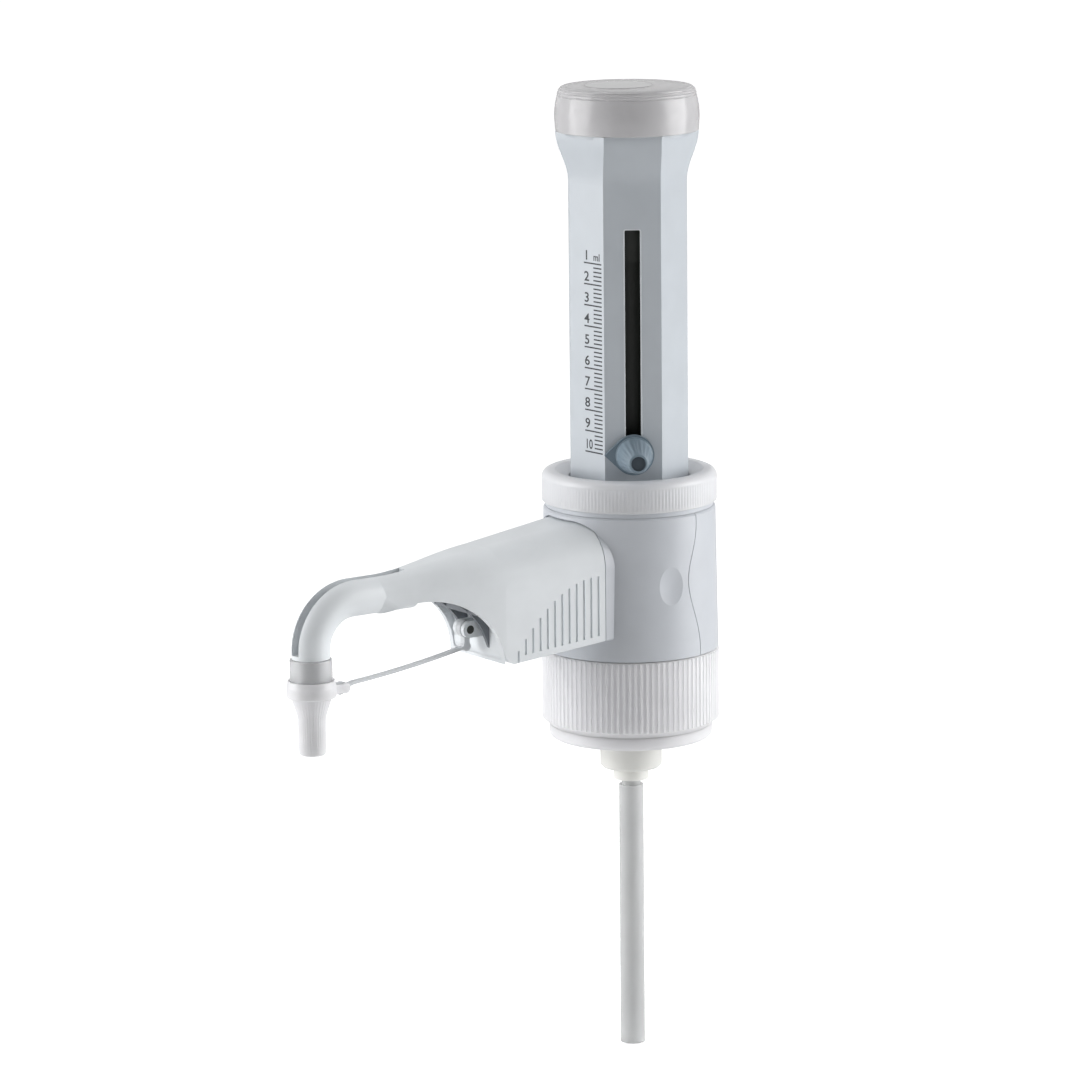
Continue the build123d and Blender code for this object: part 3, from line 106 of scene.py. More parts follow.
@dataclass(frozen=True)
class MouldedPlastic:
    """A moulded plastic: its colour, gloss, cloudiness and spark-eroded grain."""

    label: str
    colour: Colour
    roughness: float = 0.42
    drift: float = 0.02
    drift_size: float = 9.0
    grain: float = 0.06
    grain_size: float = 0.35
    glow: float = 0.0
    glow_depth: float = 2.5
    clearness: float = 0.0
    gloss: float = 0.5

    def material(self) -> bpy.types.Material:
        """Build the finish as shader nodes.

        Returns:
            The material, ready for a piece's slot.
        """
        made = bpy.data.materials.new(self.label)
        made.use_nodes = True
        tree = made.node_tree
        shader = tree.nodes["Principled BSDF"]
        place = tree.nodes.new("ShaderNodeTexCoord")
        clouds = self.noise(tree, place, self.drift_size, 3.0)
        shade = tree.nodes.new("ShaderNodeValToRGB")
        low, high = shade.color_ramp.elements
        low.position, high.position = 0.3, 0.7
        low.color = (*[v * (1.0 - self.drift) for v in self.colour], 1.0)
        high.color = (*[min(1.0, v * (1.0 + self.drift)) for v in self.colour], 1.0)
        tree.links.new(clouds.outputs["Fac"], shade.inputs["Fac"])
        tree.links.new(shade.outputs["Color"], shader.inputs["Base Color"])
        speckle = self.noise(tree, place, self.grain_size, 2.0)
        spread = tree.nodes.new("ShaderNodeMapRange")
        spread.inputs["To Min"].default_value = self.roughness * 0.82
        spread.inputs["To Max"].default_value = min(1.0, self.roughness * 1.2)
        tree.links.new(speckle.outputs["Fac"], spread.inputs["Value"])
        tree.links.new(spread.outputs["Result"], shader.inputs["Roughness"])
        bump = tree.nodes.new("ShaderNodeBump")
        bump.inputs["Strength"].default_value = self.grain
        bump.inputs["Distance"].default_value = 0.05 * MM
        tree.links.new(speckle.outputs["Fac"], bump.inputs["Height"])
        tree.links.new(bump.outputs["Normal"], shader.inputs["Normal"])
        shader.inputs["Specular IOR Level"].default_value = self.gloss
        shader.inputs["Subsurface Weight"].default_value = self.glow
        shader.inputs["Subsurface Radius"].default_value = (1.0, 1.0, 1.0)
        shader.inputs["Subsurface Scale"].default_value = self.glow_depth * MM
        shader.inputs["Transmission Weight"].default_value = self.clearness
        return made

    @staticmethod
    def noise(
        tree: bpy.types.NodeTree, place: bpy.types.Node, size: float, detail: float
    ) -> bpy.types.Node:
        """Add a noise pattern fixed to the piece.

        Args:
            tree: the material's nodes.
            place: the texture coordinate node.
            size: size of the pattern's spots in millimetres.
            detail: how many finer layers it has.

        Returns:
            The noise node.
        """
        node = tree.nodes.new("ShaderNodeTexNoise")
        node.inputs["Scale"].default_value = 1.0 / (size * MM)
        node.inputs["Detail"].default_value = detail
        tree.links.new(place.outputs["Object"], node.inputs["Vector"])
        return node


@dataclass(frozen=True)
class DrawnMetal:
    """Bright drawn wire with fine lines along its length."""

    label: str
    colour: Colour
    roughness: float = 0.28
    line_size: float = 0.08

    def material(self) -> bpy.types.Material:
        """Build the finish as shader nodes.

        Returns:
            The material, ready for a piece's slot.
        """
        made = bpy.data.materials.new(self.label)
        made.use_nodes = True
        tree = made.node_tree
        shader = tree.nodes["Principled BSDF"]
        shader.inputs["Base Color"].default_value = (*self.colour, 1.0)
        shader.inputs["Metallic"].default_value = 1.0
        place = tree.nodes.new("ShaderNodeTexCoord")
        lines = MouldedPlastic.noise(tree, place, self.line_size, 4.0)
        spread = tree.nodes.new("ShaderNodeMapRange")
        spread.inputs["To Min"].default_value = self.roughness * 0.6
        spread.inputs["To Max"].default_value = self.roughness * 1.5
        tree.links.new(lines.outputs["Fac"], spread.inputs["Value"])
        tree.links.new(spread.outputs["Result"], shader.inputs["Roughness"])
        return made


@dataclass(frozen=True)
class ClearGlass:
    """Borosilicate glass with the slight waviness of drawn tube."""

    label: str
    colour: Colour
    wave: float = 6.0

    def material(self) -> bpy.types.Material:
        """Build the finish as shader nodes.

        Returns:
            The material, ready for a piece's slot.
        """
        made = bpy.data.materials.new(self.label)
        made.use_nodes = True
        tree = made.node_tree
        shader = tree.nodes["Principled BSDF"]
        shader.inputs["Base Color"].default_value = (*self.colour, 1.0)
        shader.inputs["Roughness"].default_value = 0.03
        shader.inputs["IOR"].default_value = 1.47
        shader.inputs["Transmission Weight"].default_value = 1.0
        place = tree.nodes.new("ShaderNodeTexCoord")
        waves = MouldedPlastic.noise(tree, place, self.wave, 1.0)
        bump = tree.nodes.new("ShaderNodeBump")
        bump.inputs["Strength"].default_value = 0.05
        bump.inputs["Distance"].default_value = 0.1 * MM
        tree.links.new(waves.outputs["Fac"], bump.inputs["Height"])
        tree.links.new(bump.outputs["Normal"], shader.inputs["Normal"])
        return made


class Look(Enum):
    """The finishes this object is made in; the arch ribs and the discharge tube are darkened as painted
    shade.
    """

    SLEEVE_GREY = MouldedPlastic("sleeve_grey", tone(192, 198, 204), roughness=0.3)
    SPOUT_GREY = MouldedPlastic("spout_grey", tone(230, 234, 237), roughness=0.36)
    SHELL_GREY = MouldedPlastic("shell_grey", tone(200, 204, 210), roughness=0.3)
    CAP_FROST = MouldedPlastic(
        "cap_frost", tone(226, 225, 227),
        roughness=0.2, glow=0.25, clearness=0.35, grain=0.02
    )
    RING_FROST = MouldedPlastic(
        "ring_frost", tone(218, 219, 222),
        roughness=0.34, glow=0.8, glow_depth=6.0, grain=0.03
    )
    TIP_FROST = MouldedPlastic(
        "tip_frost", tone(233, 233, 236),
        roughness=0.34, glow=0.8, glow_depth=1.5, grain=0.02
    )
    SKIRT_FROST = MouldedPlastic(
        "skirt_frost", tone(231, 231, 234),
        roughness=0.34, glow=0.8, glow_depth=4.0, grain=0.03
    )
    POINTER_BLUE = MouldedPlastic("pointer_blue", tone(122, 138, 150), roughness=0.3, drift=0.04)
    KNOB_END = MouldedPlastic("knob_end", tone(62, 73, 83), roughness=0.55, grain=0.5, grain_size=0.22)
    RIM_WHITE = MouldedPlastic("rim_white", tone(214, 218, 222), roughness=0.4)
    LABEL_WHITE = MouldedPlastic(
        "label_white", tone(215, 215, 216),
        roughness=0.5, drift=0.02, grain_size=0.6
    )
    SCALE_INK = MouldedPlastic("scale_ink", tone(28, 33, 40), roughness=0.5, drift=0.15, drift_size=0.6)
    DARK_PLASTIC = MouldedPlastic("dark_plastic", tone(56, 58, 54), roughness=0.5)
    # Painted shade: the arch ribs are the spout's plastic, darkened to stand for the shade under the arch.
    RIB_SHADE = MouldedPlastic("rib_painted_shade", tone(118, 122, 128), roughness=0.5)
    # Painted shade: the discharge tube is darkened so the spout's slot reads as deep shade.
    TUBE_GREY = MouldedPlastic("tube_grey", tone(50, 54, 60), roughness=0.3, drift=0.06)
    STRAP_GREY = MouldedPlastic("strap_grey", tone(206, 209, 212), roughness=0.34, glow=0.3)
    FERRULE_FROST = MouldedPlastic(
        "ferrule_frost", tone(243, 244, 246),
        roughness=0.2, glow=0.3, clearness=0.6, grain=0.02
    )
    FLUORO_WHITE = MouldedPlastic("fluoro_white", tone(236, 236, 232), roughness=0.34, glow=0.4)
    TUBE_CLEAR = MouldedPlastic(
        "tube_clear", tone(246, 248, 249),
        roughness=0.2, glow=0.6, clearness=0.4, grain=0.02
    )
    SEAL_BLACK = MouldedPlastic("seal_black", tone(34, 34, 36), roughness=0.75, grain=0.3)
    BALL_WHITE = MouldedPlastic("ball_white", tone(238, 238, 234), roughness=0.12, drift=0.02)
    GLASS = ClearGlass("cylinder_glass", (0.92, 0.95, 0.96))
    SPRING_STEEL = DrawnMetal("spring_steel", (0.62, 0.62, 0.63))


class Paintbox:
    """Makes each finish once and puts it on pieces."""

    def __init__(self) -> None:
        """Start with no finish mixed."""
        self.mixed: dict[Look, bpy.types.Material] = {}

    def get(self, look: Look) -> bpy.types.Material:
        """Return the material of a finish, mixing it the first time."""
        return self.mixed.setdefault(look, self.mixed.get(look) or look.value.material())

    def coat(self, piece: bpy.types.Object, *looks: Look) -> None:
        """Put finishes in a piece's material slots.

        Args:
            piece: the mesh object.
            looks: its finishes in slot order, the last one for any slots left.
        """
        mesh = piece.data
        while len(mesh.materials) < len(looks):
            mesh.materials.append(None)
        for index in range(len(mesh.materials)):
            mesh.materials[index] = self.get(looks[min(index, len(looks) - 1)])


# Mesh building


@dataclass
class Forge:
    """Builds the meshes of new pieces and hangs them on the frame."""

    paint: Paintbox
    count: int = 0

    def piece(
        self, name: str, mesh: bpy.types.Mesh, place: Matrix, sharp: float = 35.0
    ) -> bpy.types.Object:
        """Make an object of a mesh in its place, smooth except at sharp edges.

        Args:
            name: the piece's name.
            mesh: its mesh in millimetres.
            place: where it goes, in millimetres.
            sharp: edges over this angle in degrees stay crisp.

        Returns:
            The new object, with its place baked into its mesh in metres.
        """
        mesh.transform(Matrix.Scale(MM, 4) @ place)
        mesh.shade_smooth()
        mesh.set_sharp_from_angle(angle=radians(sharp))
        made = bpy.data.objects.new(name, mesh)
        bpy.context.scene.collection.objects.link(made)
        return made

    def turned(
        self, name: str, outline: Outline, sides: int, ripple: Ripple | None = None
    ) -> bpy.types.Mesh:
        """Turn a closed outline about Z.

        Args:
            name: the mesh's name.
            outline: closed outline of (radius, height) points.
            sides: number of steps round the turn.
            ripple: change of radius by angle, radius and height.

        Returns:
            The closed mesh, in millimetres.
        """
        form = bmesh.new()
        rings = []
        for step in range(sides):
            angle = 2 * pi * step / sides
            ring = []
            for radius, height in outline:
                reach = radius + (ripple(angle, radius, height) if ripple and radius > 0 else 0.0)
                ring.append(form.verts.new((reach * cos(angle), reach * sin(angle), height)))
            rings.append(ring)
        size = len(outline)
        for step, ring in enumerate(rings):
            following = rings[(step + 1) % sides]
            for index in range(size):
                nearby = (index + 1) % size
                form.faces.new((ring[index], ring[nearby], following[nearby], following[index]))
        return self.closed(form, name)

    def swept(
        self, name: str, section: Outline, path: list[Vector], axis_up: Vector, ring: bool = False
    ) -> bpy.types.Mesh:
        """Carry a section along a path.

        Args:
            name: the mesh's name.
            section: closed outline of (outwards, upwards) points.
            path: points of the path.
            axis_up: the direction that stays up.
            ring: whether the path closes on itself.

        Returns:
            The closed mesh, in millimetres.
        """
        form = bmesh.new()
        rings = []
        last = len(path) - 1
        for index, point in enumerate(path):
            before = path[index - 1] if ring or index > 0 else path[0]
            after = path[(index + 1) % len(path)] if ring or index < last else path[last]
            along = (after - before).normalized()
            outward = along.cross(axis_up).normalized()
            upward = outward.cross(along)
            rings.append([form.verts.new(point + outward * out + upward * up) for out, up in section])
        size = len(section)
        for index in range(len(rings) if ring else last):
            here, there = rings[index], rings[(index + 1) % len(rings)]
            for corner in range(size):
                nearby = (corner + 1) % size
                form.faces.new((here[corner], here[nearby], there[nearby], there[corner]))
        if not ring:
            form.faces.new(rings[0])
            form.faces.new(rings[last])
        return self.closed(form, name)

    def closed(self, form: bmesh.types.BMesh, name: str) -> bpy.types.Mesh:
        """Merge doubled points, face all sides outwards and keep the mesh.

        Args:
            form: the mesh being made.
            name: its name.

        Returns:
            The finished mesh.
        """
        bmesh.ops.remove_doubles(form, verts=form.verts, dist=0.0005)
        bmesh.ops.dissolve_degenerate(form, dist=0.0004, edges=form.edges)
        bmesh.ops.recalc_face_normals(form, faces=form.faces)
        mesh = bpy.data.meshes.new(name)
        form.to_mesh(mesh)
        form.free()
        return mesh

    def hang(self, made: bpy.types.Object, body: str, slot: str, looks: list[Look]) -> bpy.types.Object:
        """Coat a piece, hang it on its body and report it.

        Args:
            made: the piece, already in place.
            body: the body it moves with.
            slot: not used.
            looks: its finishes.

        Returns:
            The same piece.
        """
        self.paint.coat(made, *looks)
        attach(made, body)
        self.count += 1
        LOG.info("piece %s on %s with %d faces", made.name, body, len(made.data.polygons))
        return made


def arc(centre: tuple[float, float], radius: float, start: float, end: float, steps: int = 8) -> Outline:
    """Points of an arc in an outline.

    Args:
        centre: the arc's centre.
        radius: its radius.
        start: first angle in degrees.
        end: last angle in degrees.
        steps: number of steps.

    Returns:
        The points from start to end.
    """
    points = []
    for step in range(steps + 1):
        angle = radians(start + (end - start) * step / steps)
        points.append((centre[0] + radius * cos(angle), centre[1] + radius * sin(angle)))
    return points


def risers(radius: float, low: float, high: float, steps: int) -> Outline:
    """Evenly spaced points up a straight wall, from low to high."""
    return [(radius, low + (high - low) * step / steps) for step in range(steps + 1)]


def helix(radius: float, start: float, end: float, pitch: float, steps: int = 36) -> list[Vector]:
    """Points of a helix about Z.

    Args:
        radius: its radius.
        start: first height.
        end: last height.
        pitch: rise per turn.
        steps: points per turn.

    Returns:
        The points in order.
    """
    total = max(2, floor(abs(end - start) / pitch * steps))
    points = []
    for index in range(total + 1):
        angle = 2 * pi * index / steps
        height = start + (end - start) * index / total
        points.append(Vector((radius * cos(angle), radius * sin(angle), height)))
    return points


HANDLE_PLACE = Matrix.Rotation(radians(HANDLE_TURN), 4, "Z")
TIP_PLACE = Matrix.Translation((-SPOUT_REACH, 0.0, 0.0))
AT_ORIGIN = Matrix.Identity(4)


@dataclass
class SubAssembly:
    """A group of pieces that are dressed together."""

    forge: Forge

    def dress(self, looks: dict[str, Look]) -> None:
        """Coat CAD nodes that keep their own shape.

        Args:
            looks: each node's finish.
        """
        for node, look in looks.items():
            self.forge.paint.coat(FRAME["nodes"][node], look)
            LOG.info("node %s in %s", node, look.name.lower())


@dataclass
class BottleUnion(SubAssembly):
    """Threaded skirt, bottle adapter and washer."""

    bore_r: float = 19.6
    thread_depth: float = 1.1
    thread_pitch: float = 4.0
    thread_low: float = -13.6
    thread_high: float = -2.4

    def build(self) -> None:
        """Build the bottle's thread and dress the union."""
        self.dress({
            "threaded_skirt": Look.SKIRT_FROST,
            "bottle_adapter": Look.SKIRT_FROST,
            "adapter_seal": Look.SEAL_BLACK,
        })
        depth = self.thread_depth
        section = [(0.15, -0.9), (-depth, -0.35), (-depth, 0.35), (0.15, 0.9)]
        path = helix(self.bore_r, self.thread_low, self.thread_high, self.thread_pitch)
        mesh = self.forge.swept("bottle_thread_ridge", section, path, Vector((0, 0, 1)))
        made = self.forge.piece("bottle_thread_ridge", mesh, AT_ORIGIN)
        self.forge.hang(made, "bottle_union", "pale_cap", [Look.SKIRT_FROST])


@dataclass
class LockRing(SubAssembly):
    """Turning ring with a finely knurled side and a rounded front rim."""

    outer_r: float = 26.8
    crest_r: float = 22.2
    edge_r: float = 2.2
    opening_r: float = 18.5
    bore_r: float = 20.7
    lip_low: float = 64.2
    lip_high: float = 66.1
    knurls: int = 150
    knurl_depth: float = 0.12

    def ripple(self, angle: float, radius: float, height: float) -> float:
        """Depth of the knurl at one place.

        Args:
            angle: angle round the ring.
            radius: radius of the plain ring there.
            height: height of the place.

        Returns:
            The change of radius.
        """
        low, high = heights("lock_ring")
        if radius < self.outer_r - 0.01:
            return 0.0
        fade = clamp_share((height - low - 0.5) / 0.5) * clamp_share((high - self.edge_r - height) / 0.5)
        return -self.knurl_depth * fade * (0.5 + 0.5 * cos(self.knurls * angle))

    def build(self) -> None:
        """Build the knurled ring in place of the plain one."""
        low, high = heights("lock_ring")
        centre = (self.outer_r - self.edge_r, high - self.edge_r)
        outline = [(self.bore_r, low), (self.outer_r - 0.25, low)]
        outline += risers(self.outer_r, low + 0.25, high - self.edge_r - 0.05, 12)
        outline += arc(centre, self.edge_r, 0.0, 90.0, 10)
        outline += arc((self.crest_r + 0.6, high - 0.6), 0.6, 90.0, 135.0, 3)
        outline += [(self.opening_r + 0.3, self.lip_high + 0.25), (self.opening_r, self.lip_high)]
        outline += [(self.opening_r, self.lip_low), (self.bore_r, self.lip_low)]
        mesh = self.forge.turned("lock_ring_knurled", outline, 6 * self.knurls, self.ripple)
        made = self.forge.piece("lock_ring_knurled", mesh, AT_ORIGIN)
        self.forge.hang(made, "lock_ring", "pale_cap", [Look.RING_FROST])
        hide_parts("lock_ring")


@dataclass
class DoseScale(SubAssembly):
    """Printed millilitre scale on the panel left of the facet."""

    highest: int = 10
    marks_per_ml: int = 5
    full_z: float = 75.2
    long_mark: float = 8.2
    short_mark: float = 3.8
    mark_width: float = 0.42
    margin: float = 1.0
    ink: float = 0.03
    figure_height: float = 2.9
    figure_rise: float = 0.95
    figure_width: float = 1.2
    narrow_width: float = 0.85
    unit_height: float = 2.2
    unit_width: float = 1.0

    def panel_place(self) -> Matrix:
        """Place whose X runs back along the panel and whose Z stands out of it.

        Returns:
            The place, before the handle's own turn is undone.
        """
        slope = radians(PANEL_SLOPE)
        back = Vector((-cos(slope), sin(slope), 0.0))
        upward = Vector((0.0, 0.0, 1.0))
        outward = Vector((-sin(slope), -cos(slope), 0.0))
        place = Matrix((back, upward, outward)).transposed().to_4x4()
        place.translation = Vector((-FACET_HALF, -FACET_D, 0.0))
        return HANDLE_PLACE @ place

    def mark(self, form: bmesh.types.BMesh, start: float, length: float, height: float) -> None:
        """Add one printed line to a mesh.

        Args:
            form: the mesh being made.
            start: distance of its front end from the facet's edge.
            length: its length.
            height: height of its middle.
        """
        size = Matrix.Diagonal((length, self.mark_width, 2 * self.ink, 1.0))
        spot = Matrix.Translation((start + length / 2, height, 0.0))
        bmesh.ops.create_cube(form, size=1.0, matrix=spot @ size)

    def marks(self) -> None:
        """Build all the lines of the scale as one print."""
        form = bmesh.new()
        total = (self.highest - 1) * self.marks_per_ml
        for index in range(total + 1):
            height = self.full_z + index * ML_STEP / self.marks_per_ml
            whole = index % self.marks_per_ml == 0
            self.mark(form, self.margin, self.long_mark if whole else self.short_mark, height)
        mesh = self.forge.closed(form, "scale_marks")
        made = self.forge.piece("scale_marks", mesh, self.panel_place())
        self.forge.hang(made, "handle", "dark_plastic", [Look.SCALE_INK])

    def words(self, name: str, text: str, start: float, height: float, size: float, width: float) -> None:
        """Build a printed figure or unit that reads from the front.

        Args:
            name: the piece's name.
            text: what it reads.
            start: distance of its left end from the facet's edge.
            height: height of its foot.
            size: height of its figures.
            width: how far they are drawn out sideways.
        """
        curve = bpy.data.curves.new(name, "FONT")
        curve.body = text
        curve.size = size / 0.7
        curve.extrude = self.ink
        curve.offset = 0.05
        curve.resolution_u = 4
        carrier = bpy.data.objects.new(name + "_shape", curve)
        bpy.context.scene.collection.objects.link(carrier)
        bpy.context.view_layer.update()
        mesh = bpy.data.meshes.new_from_object(carrier)
        bpy.data.objects.remove(carrier)
        turned_round = Matrix.Diagonal((-width, 1.0, -1.0, 1.0))
        spot = Matrix.Translation((start, height, 0.0))
        made = self.forge.piece(name, mesh, self.panel_place() @ spot @ turned_round)
        self.forge.hang(made, "handle", "dark_plastic", [Look.SCALE_INK])

    def build(self) -> None:
        """Print the marks, the figures and the unit."""
        self.marks()
        left_end = self.margin + self.long_mark
        for volume in range(1, self.highest + 1):
            height = self.full_z + (self.highest - volume) * ML_STEP + self.figure_rise
            width = self.figure_width if volume < self.highest else self.narrow_width
            self.words(f"scale_figure_{volume}", str(volume), left_end, height, self.figure_height, width)
        top = self.full_z + (self.highest - 1) * ML_STEP + self.figure_rise
        unit_end = self.margin + self.short_mark
        self.words("scale_unit", "ml", unit_end, top, self.unit_height, self.unit_width)


@dataclass
class Handle(SubAssembly):
    """Sleeve with its slot, the cap with its label, and the piston inside."""

    cap_foot_r: float = 21.65
    cap_r: float = 22.05
    cap_shoulder_r: float = 21.1
    cap_flat_r: float = 19.2
    cap_wall: float = 1.9
    neck_r: float = 19.8
    step_depth: float = 0.26
    step_count: int = 4
    label_r: float = 10.1
    label_offset: float = 2.5
    label_direction: float = 143.0
    rim_width: float = 0.3
    rim_height: float = 0.1
    rim_lap: float = 0.12
    rim_depth: float = 0.9
    slot_corner: float = 0.6
    shoulder_drop: float = 2.7
    cap_rows: int = 14
    groove_width: float = 1.0
    groove_depth: float = 0.12
    bead_width: float = 0.5
    bead_height: float = 0.16

    def slot_rim(self) -> None:
        """Build the thin pale bead round the slot's edge."""
        turn = self.slot_corner
        reach = SLOT_WIDTH / 2 - turn
        middles = [(reach, SLOT_TOP - turn), (-reach, SLOT_TOP - turn)]
        middles += [(-reach, SLOT_LOW + turn), (reach, SLOT_LOW + turn)]
        path = []
        for quarter, middle in enumerate(middles):
            for across, height in arc(middle, turn, 90.0 * quarter, 90.0 * (quarter + 1), 4):
                path.append(Vector((across, -FACET_D, height)))
        wide, proud = self.rim_width, self.rim_height
        lap = self.rim_lap
        section = [(2 * lap, -self.rim_depth), (2 * lap, proud * 0.5), (lap - 0.05, proud)]
        section += [(lap - wide + 0.1, proud), (lap - wide, 0.0), (lap - wide, -0.1)]
        mesh = self.forge.swept("slot_rim", section, path, Vector((0, -1, 0)), ring=True)
        made = self.forge.piece("slot_rim", mesh, HANDLE_PLACE)
        self.forge.hang(made, "handle", "body_grey", [Look.RIM_WHITE])

    def stepped_shoulder(self, foot: float, top: float) -> Outline:
        """Outline of the cap's side with shallow steps below its flat.

        Args:
            foot: height of the cap's foot.
            top: height of its flat top.

        Returns:
            The points from the foot to the edge of the flat.
        """
        shoulder_z = top - self.shoulder_drop
        points = [(self.cap_foot_r - 0.2, foot), (self.cap_foot_r, foot + 0.2)]
        for row in range(1, self.cap_rows + 1):
            share = row / self.cap_rows
            height = foot + 0.2 + share * (shoulder_z - foot - 0.2)
            bulge = sin(pi * clamp_share(share * 1.4) / 2)
            swell = self.cap_foot_r + (self.cap_r - self.cap_foot_r) * bulge
            radius = swell - (self.cap_r - self.cap_shoulder_r) * max(0.0, (share - 0.3) / 0.7) ** 2
            points.append((radius, height))
        turn = 90.0 / self.step_count
        wide, tall = self.cap_shoulder_r - self.cap_flat_r, self.shoulder_drop
        for step in range(self.step_count):
            for share in (0.12, 0.5, 0.88):
                angle = radians(turn * (step + share))
                cut = self.step_depth if share == 0.12 else 0.0
                radius = self.cap_flat_r + (wide - cut) * cos(angle)
                points.append((radius, shoulder_z + (tall - cut * 0.5) * sin(angle)))
        points.append((self.cap_flat_r, top))
        return points

    def build_cap(self) -> None:
        """Build the translucent cap with its stepped shoulder and a shallow groove round its flat top."""
        foot, top = heights("handle_cap")
        ceiling = top - self.cap_wall
        outline = self.stepped_shoulder(foot, top)
        groove_foot = top - self.groove_depth
        groove_in = self.cap_flat_r - self.groove_width
        outline += [(self.cap_flat_r - 0.25, groove_foot), (groove_in, groove_foot), (groove_in - 0.25, top)]
        outline += [(self.label_r + self.label_offset + 1.2, top), (0.0, top), (0.0, ceiling)]
        outline += [(self.neck_r - 1.2, ceiling), (self.neck_r, ceiling - 1.6), (self.neck_r, foot)]
        mesh = self.forge.turned("handle_cap_stepped", outline, 144)
        made = self.forge.piece("handle_cap_stepped", mesh, AT_ORIGIN, 28.0)
        self.forge.hang(made, "handle", "pale_cap", [Look.CAP_FROST])
        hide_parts("handle_cap")

    def build_label_rim(self) -> None:
        """Build the thin bead that frames the label."""
        top = heights("handle_cap")[1]
        angle = radians(self.label_direction)
        place = Matrix.Translation((self.label_offset * cos(angle), self.label_offset * sin(angle), 0.0))
        edge, crest = self.label_r + self.bead_width, top + self.bead_height
        outline = [(self.label_r, top - 0.1), (edge, top - 0.1)]
        outline += [(edge, crest - 0.1), (edge - 0.15, crest), (self.label_r, crest)]
        mesh = self.forge.turned("label_rim", outline, 96)
        made = self.forge.piece("label_rim", mesh, place)
        self.forge.hang(made, "handle", "pale_cap", [Look.CAP_FROST])

    def build(self) -> None:
        """Dress the handle's nodes and build its cap and rims."""
        self.dress({
            "handle_sleeve": Look.SLEEVE_GREY,
            "label_disc": Look.LABEL_WHITE,
            "piston_rod": Look.DARK_PLASTIC,
            "piston_head": Look.FLUORO_WHITE,
            "piston_seal": Look.FLUORO_WHITE,
            "volume_track": Look.DARK_PLASTIC,
        })
        self.build_cap()
        self.build_label_rim()
        self.slot_rim()


@dataclass
class VolumePointer(SubAssembly):
    """Drop-shaped pointer with its slider and its tapered thumb screw."""

    screw_back: float = 17.4
    screw_length: float = 15.0
    base_r: float = 5.65
    end_r: float = 2.9
    stem_r: float = 1.9
    stem_end: float = 12.2
    dimple: float = 0.5
    flutes: int = 18
    flute_depth: float = 0.2

    def ripple(self, angle: float, radius: float, height: float) -> float:
        """Depth of the grip flutes at one place.

        Args:
            angle: angle round the screw.
            radius: radius of the plain screw there.
            height: distance from the handle's axis.

        Returns:
            The change of radius.
        """
        share = (height - self.screw_back - 0.9) / (self.screw_length - 1.9)
        if radius < self.end_r - 0.3 or not 0.0 < share < 1.0:
            return 0.0
        return -self.flute_depth * sin(pi * share) ** 0.5 * (0.5 + 0.5 * cos(self.flutes * angle))

    def build_screw(self) -> None:
        """Build the fluted screw with its dark dished end."""
        back, end = self.screw_back, self.screw_back + self.screw_length
        outline = [(0.0, self.stem_end), (self.stem_r, self.stem_end), (self.stem_r, back)]
        outline += [(self.base_r - 0.3, back), (self.base_r, back + 0.4), (self.base_r, back + 0.9)]
        rows = 12
        for row in range(rows + 1):
            share = row / rows
            radius = self.base_r - 0.3 + (self.end_r + 0.15 - self.base_r + 0.3) * share
            outline.append((radius, back + 1.1 + (self.screw_length - 1.9) * share))
        outline += arc((self.end_r - 0.4, end - 0.45), 0.45, 0.0, 90.0, 4)
        outline += [(self.end_r - 0.7, end), (self.end_r - 0.9, end - self.dimple)]
        outline += [(1.2, end - self.dimple), (0.0, end - self.dimple)]
        mesh = self.forge.turned("thumb_screw_fluted", outline, 8 * self.flutes, self.ripple)
        dish_z, dish_r = end - self.dimple - 0.02, self.end_r - 0.72
        for face in mesh.polygons:
            if face.center.z > dish_z and hypot(face.center.x, face.center.y) < dish_r:
                face.material_index = 1
        place = HANDLE_PLACE @ Matrix.Translation((0, 0, POINTER_Z)) @ Matrix.Rotation(radians(90), 4, "X")
        made = self.forge.piece("thumb_screw_fluted", mesh, place)
        self.forge.hang(made, "thumb_screw", "blue_grey", [Look.POINTER_BLUE, Look.KNOB_END])
        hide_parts("thumb_screw")

    def build(self) -> None:
        """Dress the pointer and build its screw."""
        self.dress({"volume_pointer": Look.POINTER_BLUE, "pointer_block": Look.DARK_PLASTIC})
        self.build_screw()


